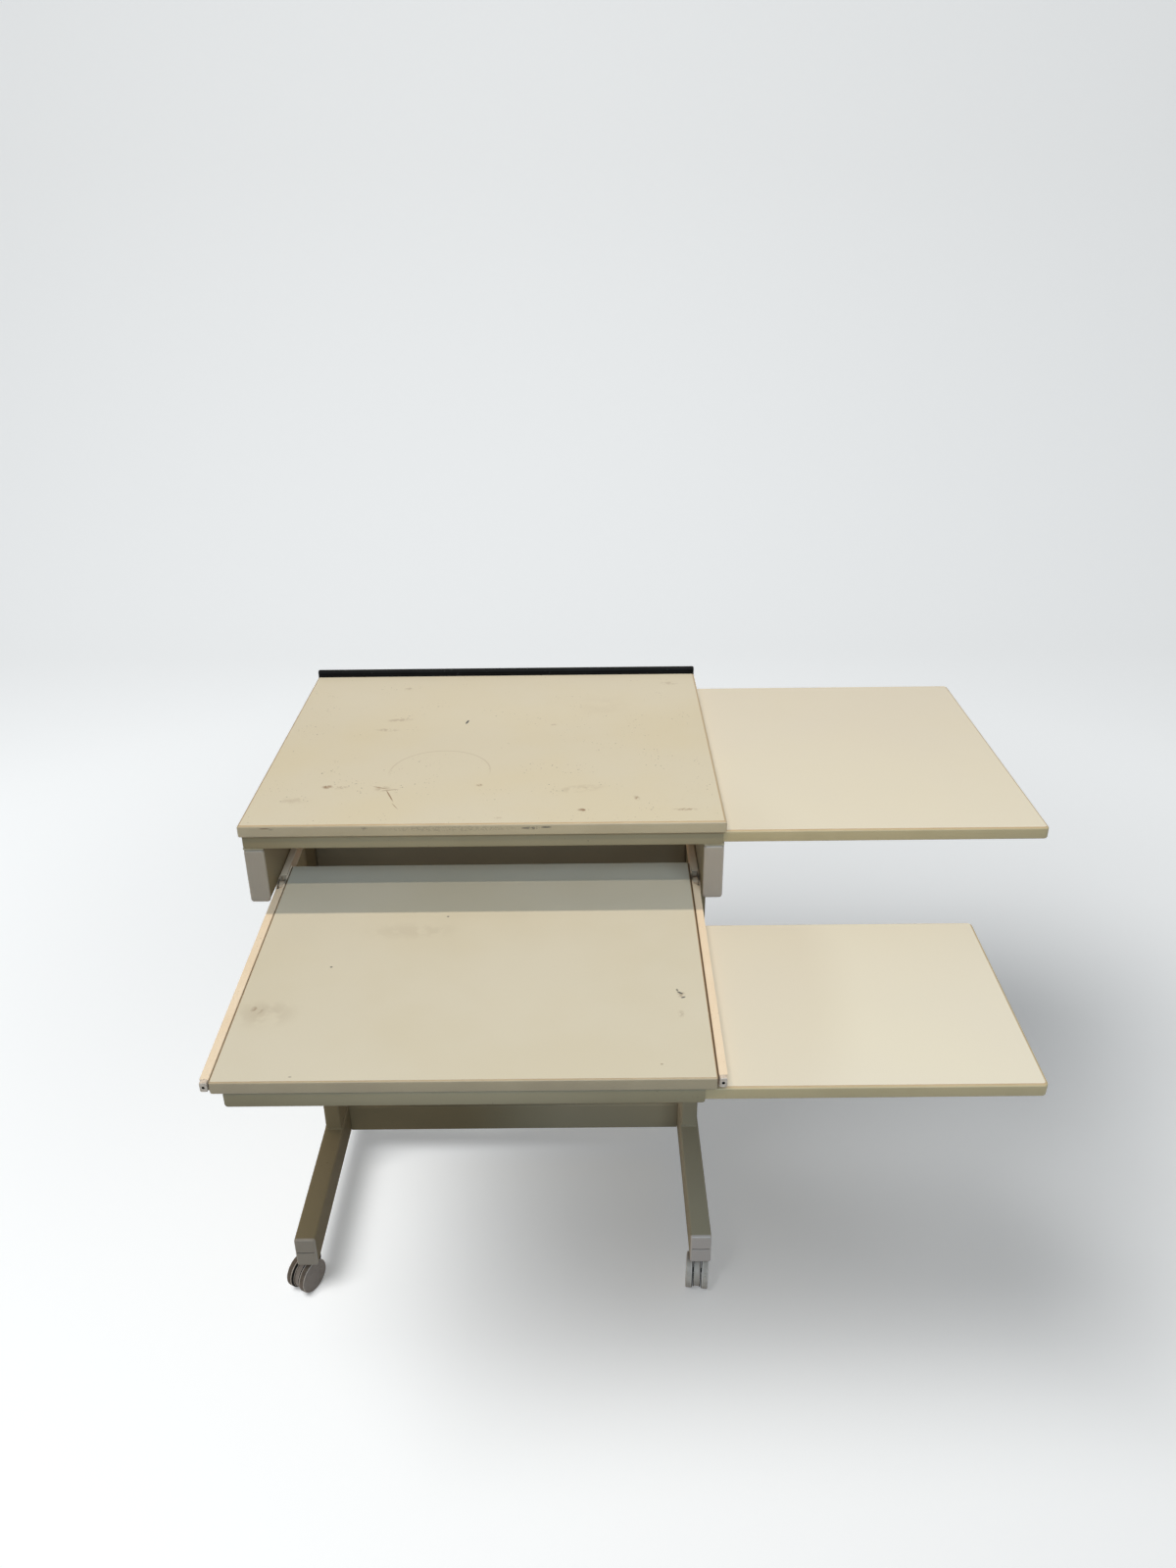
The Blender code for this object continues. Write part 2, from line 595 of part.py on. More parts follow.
def build_tray(slope, finishes):
    """The keyboard tray with its runners, and the channels and leaf under it."""
    shape = board((-TRAY_HALF, 0, -TRAY_THICKNESS), (TRAY_HALF, TRAY_DEPTH, 0), TRAY_CORNER)
    add_piece("tray_board", shape, finishes["laminate"], slope)
    for name, back, direction in (
        ("tray_front_channel", TRAY_CHANNEL_SETBACK, 1), ("tray_rear_channel", TRAY_CHANNEL_REAR, -1)
    ):
        tip = back + direction * CHANNEL_FLANGE
        shape = guide_channel(TRAY_CHANNEL_HALF, back, tip, TRAY_CHANNEL_TOP)
        add_piece(name, shape, finishes["steel"], slope)

    narrow = DRAWER_WEB + NOTCH_FLANGE
    notch = DRAWER_FLANGE_END - NOTCH_LENGTH
    for side_name, side in SIDES.items():
        stations = [
            (RUNNER_END + SEAT_GAP, DRAWER_TIP, DRAWER_TIP), (notch, DRAWER_TIP, DRAWER_TIP),
            (notch + NOTCH_TAPER, narrow, DRAWER_TIP), (DRAWER_FLANGE_END, narrow, DRAWER_TIP),
        ]
        shape = runner(side, DRAWER_BACK, stations, DRAWER_BOTTOM, DRAWER_TOP, (TRAY_DEPTH, 1.0))
        rail = add_piece(f"drawer_runner_{side_name}", shape, finishes["runner"], slope)
        shape = roller_pin(
            side * (DRAWER_WEB - RUNNER_SHEET / 2), side * DRAWER_TIP, DRAWER_ROLLER_AT, RUNNER_MIDDLE
        )
        combine(rail, f"drawer_pin_{side_name}", shape, "UNION")
        middle = side * (CABINET_TIP + DRAWER_TIP) / 2
        add_piece(
            f"drawer_roller_{side_name}", roller(DRAWER_ROLLER_RADIUS), finishes["roller"], slope,
            (middle, DRAWER_ROLLER_AT, RUNNER_MIDDLE),
        )
        edges = sorted((side * (DRAWER_BACK + RUNNER_END_INSET), side * (DRAWER_TIP - RUNNER_END_INSET)))
        outer = rounded_outline(edges[0], edges[1], -RUNNER_END_HEIGHT, DRAWER_TOP, RUNNER_SHEET)
        hole = circle_outline(
            RUNNER_END_HOLE, len(outer), sum(edges) / 2, (DRAWER_TOP - RUNNER_END_HEIGHT) / 2
        )
        add_piece(
            f"runner_end_{side_name}", hollow_prism(outer, hole, "Y", 0, RUNNER_END), finishes["cap"], slope
        )

    shape = board(
        (LOWER_LEAF_END - LOWER_LEAF_WIDTH, LOWER_LEAF_FRONT, LOWER_LEAF_TOP - LEAF_THICKNESS),
        (LOWER_LEAF_END, LOWER_LEAF_BACK, LOWER_LEAF_TOP), LEAF_CORNER,
    )
    add_piece("lower_leaf", shape, finishes["leaf"], slope)


def caster_body_outline():
    """Side view of a caster's body: a disc round the axle, drawn up to a boss round the stem."""
    points = [(BOSS_RADIUS, BODY_TOP), (BOSS_RADIUS, BODY_TOP - PIVOT_LENGTH)]
    for step in range(BODY_ARC_STEPS + 1):
        angle = BODY_ARC_START + (BODY_ARC_END - BODY_ARC_START) * step / BODY_ARC_STEPS
        along = BODY_RADIUS * math.cos(angle) - CASTER_TRAIL
        points.append((along, BODY_RADIUS * math.sin(angle) + WHEEL_RADIUS))
    points += [(-BOSS_RADIUS, BODY_TOP - FLANGE_THICKNESS), (-BOSS_RADIUS, BODY_TOP)]
    return points


def wheel_shape(side):
    """One wheel of a caster, its flat inner face at 0 and its dished outer face away from the body."""
    bore = AXLE_RADIUS + BORE_GAP
    blind = AXLE_BITE + SEAT_GAP
    rim = WHEEL_RADIUS - RIM_THICKNESS
    shoulder = WHEEL_RADIUS - WHEEL_ROUND
    arc = [math.radians(90 * step / CORNER_STEPS) for step in range(CORNER_STEPS + 1)]
    profile = [
        (0, blind), (bore, blind), (bore, 0), (HUB_RADIUS, 0), (HUB_RADIUS + WEB_RECESS, WEB_RECESS),
        (rim - WEB_RECESS, WEB_RECESS), (rim, 0), (WHEEL_RADIUS - WHEEL_DISH, 0),
        (WHEEL_RADIUS, WHEEL_DISH),
    ]
    for t in arc:
        profile.append((
            shoulder + WHEEL_ROUND * math.cos(t), WHEEL_WIDTH - WHEEL_ROUND + WHEEL_ROUND * math.sin(t)
        ))
    profile += [(rim - WHEEL_ROUND, WHEEL_WIDTH - WHEEL_DISH), (0, WHEEL_WIDTH - WHEEL_DISH)]
    return turned([(radius, side * height) for radius, height in profile], "X", WHEEL_STEPS)


def build_caster(desk, finishes, name, stem_x, stem_y):
    """One twin-wheel caster: a fixed stem, and a body that swivels on it and carries two wheels."""
    stem_profile = [
        (0, BODY_TOP - PIVOT_LENGTH), (PIVOT_RADIUS, BODY_TOP - PIVOT_LENGTH),
        (PIVOT_RADIUS, BODY_TOP + SEAT_GAP), (FLANGE_RADIUS, BODY_TOP + SEAT_GAP),
        (FLANGE_RADIUS, CASTER_HEIGHT - SEAT_GAP), (STEM_RADIUS, CASTER_HEIGHT - SEAT_GAP),
        (STEM_RADIUS, CASTER_HEIGHT + STEM_IN_FOOT), (0, CASTER_HEIGHT + STEM_IN_FOOT),
    ]
    add_piece(f"caster_{name}_stem", turned(stem_profile, "Z"), finishes["zinc"], desk, (stem_x, stem_y, 0))

    swivel = make_empty(f"swivel_{name}", desk, (stem_x, stem_y, 0), (0, 0, CASTER_TURNS[name]))
    half = BODY_WIDTH / 2
    shape = prism(caster_body_outline(), "X", -half, half)
    for face_x in (-half, half):
        round_edges(shape, lambda point, face_x=face_x: near(point.x, face_x), BODY_ROUND, 1)
    body = add_piece(f"caster_{name}_body", shape, finishes["caster"], swivel)
    pivot = circle_outline(PIVOT_RADIUS + BORE_GAP, TURN_STEPS)
    shape = prism(pivot, "Z", BODY_TOP - PIVOT_LENGTH - SEAT_GAP, BODY_TOP + CUT_PAST)
    combine(body, f"pivot_bore_{name}", shape, "DIFFERENCE")
    axle_at = (-CASTER_TRAIL, WHEEL_RADIUS)
    bore = circle_outline(AXLE_RADIUS + BORE_GAP, TURN_STEPS, *axle_at)
    combine(body, f"axle_bore_{name}", prism(bore, "X", -half - CUT_PAST, half + CUT_PAST), "DIFFERENCE")

    reach = WHEEL_FACE + AXLE_BITE
    axle = turned([(0, -reach), (AXLE_RADIUS, -reach), (AXLE_RADIUS, reach), (0, reach)], "X")
    middle = (0, -CASTER_TRAIL, WHEEL_RADIUS)
    add_piece(f"caster_{name}_axle", axle, finishes["zinc"], swivel, middle)
    for wheel_name, side in SIDES.items():
        place = (side * WHEEL_FACE, -CASTER_TRAIL, WHEEL_RADIUS)
        add_piece(f"caster_{name}_wheel_{wheel_name}", wheel_shape(side), finishes["caster"], swivel, place)


def set_on_origin(desk):
    """Move the desk so that the middle of its bounding box, seen from above, is on the origin."""
    graph = bpy.context.evaluated_depsgraph_get()
    points = []
    for piece in desk.children_recursive:
        if piece.type == "MESH" and not piece.hide_render:
            finished = piece.evaluated_get(graph)
            points += [finished.matrix_world @ vert.co for vert in finished.to_mesh().vertices]
            finished.to_mesh_clear()
    for axis in range(2):
        places = [point[axis] for point in points]
        desk.location[axis] = -(min(places) + max(places)) / 2
    print("desk set at", [round(value, 6) for value in desk.location])


def main():
    """Build the desk, with the middle of its bounding box over the origin."""
    clear_scene()
    finishes = {
        "laminate": make_finish("laminate", (0.61, 0.54, 0.42), 0.45),
        "leaf": make_finish("leaf_laminate", (0.71, 0.65, 0.53), 0.42),
        "strip": make_finish("black_strip", (0.012, 0.013, 0.015), 0.5),
        "steel": make_finish("painted_steel", (0.38, 0.34, 0.25), 0.5),
        "panel": make_finish("panel_laminate", (0.30, 0.26, 0.18), 0.55),
        "cap": make_finish("grey_plastic", (0.29, 0.28, 0.25), 0.55),
        "runner": make_finish("cream_epoxy", (0.78, 0.66, 0.50), 0.4),
        "roller": make_finish("roller_plastic", (0.42, 0.40, 0.36), 0.5),
        "caster": make_finish("caster_plastic", (0.15, 0.145, 0.135), 0.5),
        "zinc": make_finish("zinc_steel", (0.55, 0.55, 0.54), 0.35, 1.0),
    }
    desk = make_empty("desk")
    slope = make_empty("tray_slope", desk, (0, -TRAY_REACH, TRAY_FRONT_Z), (TRAY_TILT, 0, 0))
    build_top(desk, finishes)
    for side_name in SIDES:
        build_leg(desk, finishes, side_name)
    build_cross_pieces(desk, finishes)
    build_cabinet_runners(slope, finishes)
    build_tray(slope, finishes)
    stem_rows = {
        "front": FOOT_FRONT + CASTER_FROM_END, "rear": FOOT_FRONT + FOOT_LENGTH - CASTER_FROM_END,
    }
    for row, stem_y in stem_rows.items():
        for side_name, side in SIDES.items():
            build_caster(desk, finishes, f"{row}_{side_name}", side * LEG_X, stem_y)
    set_on_origin(desk)


main()
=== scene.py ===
"""Dresses the mobile computer desk: fine surfaces, finishes, fasteners, floor, light and camera.

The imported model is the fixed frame. Boards, tubes, caps, channels, runners, rollers and casters get
finer surfaces in the same places, worked out as whole arrays, and each finish is a node material.
"""
from __future__ import annotations

import json
import logging
import math
from dataclasses import dataclass, field, replace
from enum import Enum, IntEnum
from functools import cached_property, reduce
from typing import ClassVar, Iterable, Sequence, Union

import bpy
import numpy as np
from mathutils import Matrix


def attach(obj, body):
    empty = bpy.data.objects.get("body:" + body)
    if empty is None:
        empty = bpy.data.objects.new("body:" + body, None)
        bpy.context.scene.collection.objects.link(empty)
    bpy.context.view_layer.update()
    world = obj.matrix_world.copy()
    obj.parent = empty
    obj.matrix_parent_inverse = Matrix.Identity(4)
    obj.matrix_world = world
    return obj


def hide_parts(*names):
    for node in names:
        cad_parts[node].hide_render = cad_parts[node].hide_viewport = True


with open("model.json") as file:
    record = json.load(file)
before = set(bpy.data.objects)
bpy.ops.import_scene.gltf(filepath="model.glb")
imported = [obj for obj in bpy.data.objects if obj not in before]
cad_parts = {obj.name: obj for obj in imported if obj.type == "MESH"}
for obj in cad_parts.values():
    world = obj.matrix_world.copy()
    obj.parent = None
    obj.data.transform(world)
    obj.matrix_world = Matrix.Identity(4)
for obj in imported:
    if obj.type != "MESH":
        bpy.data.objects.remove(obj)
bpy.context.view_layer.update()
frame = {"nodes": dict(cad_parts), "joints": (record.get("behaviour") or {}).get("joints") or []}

LOG = logging.getLogger("desk_looks")
MM = 0.001
CREASE = math.radians(32.0)
X, Y, Z = range(3)
ACROSS = np.array([1.0, 0.0, 0.0])
UP = np.array([0.0, 0.0, 1.0])

Array = np.ndarray
Socket = bpy.types.NodeSocket
Pair = tuple[float, float]
Triple = tuple[float, float, float]
Colour = tuple[float, float, float]
Value = Union[Socket, float, Sequence[float]]


class Slot(Enum):
    """The record's material slots."""

    LAMINATE = "laminate"
    LEAF = "leaf_laminate"
    PANEL = "panel_laminate"
    STRIP = "black_strip"
    STEEL = "painted_steel"
    CAP = "grey_plastic"
    RUNNER = "cream_epoxy"
    ROLLER = "roller_plastic"
    CASTER = "caster_plastic"
    ZINC = "zinc_steel"


class Facing(Enum):
    """Two opposite places, each with the way that it faces along its axis."""

    def of(self, stem: str) -> str:
        """The name of the piece of a pair that is here."""
        return f"{stem}_{self.name.lower()}"


class Side(Facing):
    """The desk's sides, along X."""

    LEFT = -1
    RIGHT = 1


class End(Facing):
    """The desk's ends, along Y."""

    FRONT = -1
    REAR = 1


class Tube(Enum):
    """The tubes that have caps in their ends."""

    ARM = "arm"
    FOOT = "foot"


class BoardPart(IntEnum):
    """Finish numbers of a board's parts."""

    FACE, LINE, BAND, BACK = range(4)


class CapPart(IntEnum):
    """Finish numbers of a cap's parts."""

    FACE, RIM, GROOVE = range(3)


class CasterPart(IntEnum):
    """Finish numbers of a caster's parts."""

    # The third part is a painted highlight, the fourth painted shade.
    DISC, TREAD, WORN, GAP = range(4)


def joint(name: str) -> dict:
    """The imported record's joint of that name."""
    return next(entry for entry in frame["joints"] if entry["name"] == name)


def unit(vectors: Array) -> Array:
    """Vectors brought to a length of 1."""
    return vectors / np.linalg.norm(vectors, axis=-1, keepdims=True)


@dataclass(frozen=True)
class Box:
    """The lowest and highest corner of something, in metres."""

    low: Array
    high: Array

    @property
    def middle(self) -> Array:
        """The point halfway between the corners."""
        return (self.low + self.high) / 2

    @property
    def size(self) -> Array:
        """The lengths along the axes."""
        return self.high - self.low

    def end(self, axis: int, facing: float) -> float:
        """Where the box ends along an axis, on the side that facing points to."""
        return (self.high if facing > 0 else self.low)[axis]


@dataclass(frozen=True)
class Place:
    """A set of axes that pieces are worked out in: the columns of turn, seen from origin."""

    turn: Array
    origin: Array = field(default_factory=lambda: np.zeros(3))

    def to_world(self, points: Array) -> Array:
        """Carry points from these axes to the frame's own."""
        return points @ self.turn.T + self.origin

    def box(self, node: str) -> Box:
        """The box of a CAD node along these axes.

        Args:
            node: the CAD node's name.

        Returns:
            The box.
        """
        mesh = frame["nodes"][node].data
        flat = np.empty(len(mesh.vertices) * 3, np.float32)
        mesh.vertices.foreach_get("co", flat)
        local = (flat.reshape(-1, 3) - self.origin) @ self.turn
        return Box(local.min(0), local.max(0))


UPRIGHT = Place(np.eye(3))
ON_ITS_BACK = Place(np.array([[1.0, 0.0, 0.0], [0.0, 0.0, -1.0], [0.0, 1.0, 0.0]]))


def sloped_place() -> Place:
    """The tray's axes: Y runs along its runners, and X stays level."""
    along = unit(np.array(joint("tray_slide")["axis"], float))
    return Place(np.column_stack([ACROSS, along, np.cross(ACROSS, along)]))


def caster_place(caster: str) -> Place:
    """A caster's axes: the stem's foot on the floor, X along the wheels' axle.

    Args:
        caster: the caster's name.

    Returns:
        The axes.
    """
    across = np.array(joint(f"{caster}_wheel_left_spin")["axis"], float)
    stem = np.array(joint(f"{caster}_swivel")["pos_m"], float)
    return Place(np.column_stack([across, np.cross(UP, across), UP]), stem * (1, 1, 0))


def top_corner() -> Array:
    """The middle of the top's front edge, at its upper face."""
    box = UPRIGHT.box("top_board")
    return np.array([box.middle[X], box.low[Y], box.high[Z]])


@dataclass
class Skin:
    """A closed surface: points, four-sided faces, flat lids, and the finish number of each."""

    points: Array
    quads: Array
    lids: list[Array] = field(default_factory=list)
    quad_finish: Array | None = None
    lid_finish: list[int] = field(default_factory=list)

    def __post_init__(self) -> None:
        """Give every face the first finish where none was named."""
        if self.quad_finish is None:
            self.quad_finish = np.zeros(len(self.quads), int)
        if not self.lid_finish:
            self.lid_finish = [0] * len(self.lids)

    def volume(self) -> float:
        """Signed volume: the sum over fans of triangles of a . (b x c) / 6.

        Returns:
            The volume, below zero where the faces point in.
        """
        quads = self.points[self.quads]
        fans = [quads[:, [0, 1, 2]], quads[:, [0, 2, 3]]]
        for lid in self.lids:
            corners = self.points[lid]
            first = np.broadcast_to(corners[0], (len(lid) - 2, 3))
            fans.append(np.stack([first, corners[1:-1], corners[2:]], axis=1))
        a, b, c = np.concatenate(fans).transpose(1, 0, 2)
        return float(np.einsum("ij,ij->i", a, np.cross(b, c)).sum() / 6)

    def outward(self) -> Skin:
        """The same surface with its faces pointing out.

        Returns:
            This surface, or a copy with every face turned round.
        """
        if self.volume() >= 0:
            return self
        return replace(self, quads=self.quads[:, ::-1], lids=[lid[::-1] for lid in self.lids])

    def placed(self, place: Place) -> Skin:
        """The same surface carried from a place's axes to the frame's own, facing out."""
        return replace(self, points=place.to_world(self.points)).outward()

    @staticmethod
    def joined(skins: Iterable[Skin]) -> Skin:
        """Several surfaces as one, each still closed by itself.

        Args:
            skins: the surfaces to put together.

        Returns:
            One surface with all their faces.
        """
        parts = [skin.outward() for skin in skins]
        starts = np.cumsum([0] + [len(part.points) for part in parts[:-1]])
        return Skin(
            np.concatenate([part.points for part in parts]),
            np.concatenate([part.quads + start for part, start in zip(parts, starts)]),
            [lid + start for part, start in zip(parts, starts) for lid in part.lids],
            np.concatenate([part.quad_finish for part in parts]),
            [number for part in parts for number in part.lid_finish],
        )


def loft(
    rings: Array, finish: Sequence[int] | None = None, lids: tuple[int, int] | None = (0, 0)
) -> Skin:
    """Join rings of points into a surface, with a face for every four neighbours.

    The corners of a face in the grid are (i, j), (i, j + 1), (i + 1, j + 1) and (i + 1, j).

    Args:
        rings: points in an array of ring, place round the ring, axis.
        finish: finish number of each band between two rings.
        lids: finish numbers of the flat lids on the first and last ring. With None the last ring
            joins the first one instead.

    Returns:
        The closed surface.
    """
    count, around = rings.shape[:2]
    looped = lids is None
    bands = count if looped else count - 1
    row, column = np.meshgrid(np.arange(bands), np.arange(around), indexing="ij")
    after, beside = (row + 1) % count * around, (column + 1) % around
    row = row * around
    quads = np.stack([row + column, row + beside, after + beside, after + column], axis=-1)
    numbers = np.repeat(np.zeros(bands, int) if finish is None else np.asarray(finish, int), around)
    points = rings.reshape(-1, 3)
    if looped:
        return Skin(points, quads.reshape(-1, 4), quad_finish=numbers)
    ends = [np.arange(around)[::-1], np.arange(around) + (count - 1) * around]
    return Skin(points, quads.reshape(-1, 4), ends, numbers, list(lids))


def arc(first: float, last: float, steps: int) -> Array:
    """Angles in radians from first to last, given in degrees."""
    return np.radians(np.linspace(first, last, steps + 1))


def full_turn(steps: int) -> Array:
    """Angles in radians once round a circle."""
    return np.linspace(0.0, 2 * math.pi, steps, endpoint=False)


def quarter(radius: float, steps: int) -> tuple[Array, Array]:
    """A quarter circle: r (1 - cos t) and r (1 - sin t) for t from 0 to 90 degrees."""
    turn = arc(0.0, 90.0, steps)
    return radius * (1 - np.cos(turn)), radius * (1 - np.sin(turn))


def rounded_rectangle(low: Array, high: Array, radius: float, steps: int = 8) -> Array:
    """Outline of a rectangle with quarter circles at its corners, anticlockwise from lower right.

    Args:
        low: lowest corner in the plane.
        high: highest corner in the plane.
        radius: of the corners.
        steps: pieces of each quarter circle.

    Returns:
        Points in an array of place, axis.
    """
    angle = np.stack([arc(first, first + 90.0, steps) for first in (-90.0, 0.0, 90.0, 180.0)])
    (left, lower), (right, upper) = low + radius, high - radius
    across = np.array([right, right, left, left])[:, None] + radius * np.cos(angle)
    upward = np.array([lower, upper, upper, lower])[:, None] + radius * np.sin(angle)
    return np.stack([across.ravel(), upward.ravel()], axis=-1)


def split_sides(outline: Array, parts: int) -> Array:
    """A closed outline with each of its sides split into equal parts.

    Args:
        outline: points in an array of place, axis.
        parts: of each side.

    Returns:
        The outline with its new points.
    """
    ahead = np.roll(outline, -1, 0) - outline
    share = np.arange(parts)[:, None] / parts
    return (outline[:, None] + share * ahead[:, None]).reshape(-1, 2)


def normals(outline: Array) -> Array:
    """Unit vectors that point to the right of a closed outline's way round."""
    ahead = unit(np.roll(outline, -1, 0) - np.roll(outline, 1, 0))
    return np.stack([ahead[:, 1], -ahead[:, 0]], axis=-1)


def other_axes(axis: int) -> list[int]:
    """The two axes besides one, in their order."""
    return [number for number in range(3) if number != axis]


def along_axis(outline: Array, places: Sequence[float], axis: int) -> Array:
    """Rings at places along an axis.

    Args:
        outline: points of the other two axes, in their order: one outline, or one for each place.
        places: where the rings are along the axis.
        axis: X, Y or Z.

    Returns:
        Points in an array of ring, place round the ring, axis.
    """
    rings = np.empty((len(places), outline.shape[-2], 3))
    rings[:, :, other_axes(axis)] = outline
    rings[:, :, axis] = np.asarray(places)[:, None]
    return rings


def lathe(
    profile: Array, axis: int, centre: Sequence[float], steps: int,
    lids: tuple[int, int] | None = (0, 0), finish: Sequence[int] | None = None,
) -> Skin:
    """A profile of (radius, place along the axis) points turned full circle about an axis.

    Args:
        profile: points in an array of place, (radius, along).
        axis: X, Y or Z.
        centre: a point on the axis that the profile's places are counted from.
        steps: pieces of the circle.
        lids: finish numbers of the two flat ends, or None where the profile closes on itself.
        finish: finish number of each band of the profile.

    Returns:
        The closed surface.
    """
    angle = full_turn(steps)
    circle = np.stack([np.cos(angle), np.sin(angle)], axis=-1)
    rings = along_axis(profile[:, :1, None] * circle, profile[:, 1], axis)
    return loft(rings + np.asarray(centre), finish, lids)


@dataclass(frozen=True)
class Rim:
    """How a board's edge is finished, from its upper face outwards and down.

    A bevel shows the laminate's brown core as a line, then a banding has a round shoulder,
    a straight face and a round lower edge.
    """

    line_width: float = 1.2 * MM
    line_drop: float = 1.0 * MM
    shoulder: float = 1.8 * MM
    lower: float = 2.2 * MM
    steps: int = 5

    def profile(self, thickness: float) -> tuple[Array, Array, list[int]]:
        """Insets from the outline, drops from the upper face, and the finish of each band.

        The shoulder is a quarter circle, and the lower edge is one turned over.

        Args:
            thickness: of the board.

        Returns:
            Insets, drops and finish numbers: the core's line, then the banding.
        """
        down, inward = quarter(self.shoulder, self.steps)
        lower_in, lower_up = quarter(self.lower, self.steps)
        inset = np.concatenate([[self.shoulder + self.line_width], inward, lower_in])
        drop = np.concatenate([[0.0], self.line_drop + down, thickness - lower_up])
        return inset, drop, [BoardPart.LINE] + [BoardPart.BAND] * (len(inset) - 2)


def slab(box: Box, corner: float, rim: Rim) -> Skin:
    """A board: rings of its outline, drawn in and lowered along the rim's profile.

    Args:
        box: the board's box.
        corner: radius of its corners seen from above.
        rim: how its edge is finished.

    Returns:
        The board, with the finish numbers of its parts.
    """
    least = MM / 4
    inset, drop, finish = rim.profile(box.size[Z])
    low, high = box.low[:Z], box.high[:Z]
    outlines = [
        rounded_rectangle(low + step, high - step, max(corner - step, least)) for step in inset
    ]
    rings = along_axis(np.stack(outlines), box.high[Z] - drop, Z)
    return loft(rings, finish, lids=(BoardPart.FACE, BoardPart.BACK))


def hollow_bar(box: Box, axis: int, corner: float, wall: float) -> Skin:
    """A rectangular tube: outer and inner outline, each at both ends, joined in a loop.

    Args:
        box: the tube's box.
        axis: the way that it runs, X, Y or Z.
        corner: outer radius of its edges.
        wall: the metal's thickness.

    Returns:
        The closed surface.
    """
    low, high = box.low[other_axes(axis)], box.high[other_axes(axis)]
    outer = along_axis(rounded_rectangle(low, high, corner), [box.low[axis], box.high[axis]], axis)
    bore = rounded_rectangle(low + wall, high - wall, corner - wall)
    inner = along_axis(bore, [box.high[axis], box.low[axis]], axis)
    return loft(np.concatenate([outer, inner]), lids=None)


@dataclass(frozen=True)
class CapGroove:
    """A line moulded across the middle of a cap, bowed up at its ends."""

    width: float = 26.0 * MM
    height: float = 2.1 * MM
    depth: float = 1.5 * MM
    bow: float = 0.7 * MM
    fade: float = 9.0 * MM
    rows: int = 11
    row_reach: float = 0.6
    row_clear: float = 1.5

    def with_rows(self, upward: Array) -> Array:
        """Heights of a grid's rows, with close ones where the groove is.

        Args:
            upward: the heights without a groove.

        Returns:
            The heights in rising order.
        """
        reach = self.row_reach * self.height
        steps = np.linspace(-reach, reach, self.rows)
        clear = upward[np.abs(upward) > self.row_clear * reach]
        return np.unique(np.concatenate([clear, steps]))

    def depth_at(self, x: Array, z: Array) -> Array:
        """Depth by place: a flat-bottomed slot that runs out at both ends.

        Args:
            x: places across the cap, from its middle.
            z: places up the cap.

        Returns:
            The depth at each place.
        """
        along = np.clip((self.width / 2 - np.abs(x)) / self.height, 0, 1)
        across = np.clip((self.height / 2 - np.abs(z)) / (self.height / 4), 0, 1)
        return self.depth * along * across

    def bow_at(self, x: Array, z: Array) -> Array:
        """How far the bow lifts a place: b (2 x / w)^2, less with distance from the groove."""
        return self.bow * (2 * x / self.width) ** 2 * np.clip(1 - np.abs(z) / self.fade, 0, 1)


def moulded_cap(
    box: Box, facing: int, corner: float, edge: float, groove: CapGroove | None
) -> Skin:
    """A plastic cap's face and sides as one grid over the tube's end.

    The square grid is pulled in at its corners by x sqrt(1 - z^2 / 2), z sqrt(1 - x^2 / 2), so that
    they become quarter circles. The face lies back by e - sqrt(e^2 - (e - d)^2) at d from its
    outline, and by the groove's depth where that crosses it.

    Args:
        box: the cap's visible part.
        facing: -1 if the face looks to the front, 1 if to the back.
        corner: radius of its corners seen from the end.
        edge: radius of the rim round its face.
        groove: the line across its face, if it has one.

    Returns:
        The closed surface, with the finish numbers of its parts.
    """
    grid_steps, highlight_reach = 29, 0.55
    half, middle = box.size[[X, Z]] / 2, box.middle[[X, Z]]
    spread = np.sin(np.linspace(-math.pi / 2, math.pi / 2, grid_steps))
    upward = half[1] * spread if groove is None else groove.with_rows(half[1] * spread)
    grid = np.stack(np.meshgrid(half[0] * spread, upward, indexing="ij"))
    limit = half[:, None, None]
    past = np.clip((np.abs(grid) - limit + corner) / corner, 0, 1)
    grid = np.sign(grid) * (np.abs(grid) - corner * past * (1 - np.sqrt(1 - past[::-1] ** 2 / 2)))
    reach = np.abs(grid) - limit + corner
    past_corner = np.linalg.norm(np.clip(reach, 0, None), axis=0)
    outside = past_corner + np.clip(reach.max(0), None, 0) - corner
    rise = np.clip(edge + outside, 0, edge)
    depth = edge - np.sqrt(np.clip(edge**2 - rise**2, 0, None))
    sunk = np.zeros_like(depth)
    if groove is not None:
        sunk = groove.depth_at(*grid)
        grid[1] += groove.bow_at(*grid)
    x, z, sunk = (np.pad(layer, 1, mode="edge") for layer in (*grid, sunk))
    depth = np.pad(depth, 1, constant_values=box.size[Y]) + sunk
    points = np.stack([middle[0] + x, box.end(Y, facing) - facing * depth, middle[1] + z], axis=-1)
    number = np.arange(x.size).reshape(x.shape)
    quads = np.stack([number[:-1, :-1], number[:-1, 1:], number[1:, 1:], number[1:, :-1]], axis=-1)
    rim = np.concatenate([
        number[0, 1:-1], number[1:-1, -1], number[-1, -2:0:-1], number[-2:0:-1, 0],
    ])
    centre_x, centre_z, low_part = ((layer[:-1, :-1] + layer[1:, 1:]) / 2 for layer in (x, z, sunk))
    outer = np.maximum(np.abs(centre_x) - half[0], np.abs(centre_z) - half[1])
    # Faces near the rim get a lighter finish: a painted highlight.
    finish = np.where(outer > -highlight_reach * edge, CapPart.RIM, CapPart.FACE)
    if groove is not None:
        # The groove's faces get a dark finish: painted shade.
        finish[low_part > groove.depth / 3] = CapPart.GROOVE
    return Skin(points.reshape(-1, 3), quads.reshape(-1, 4), [rim[::-1]], finish.ravel())


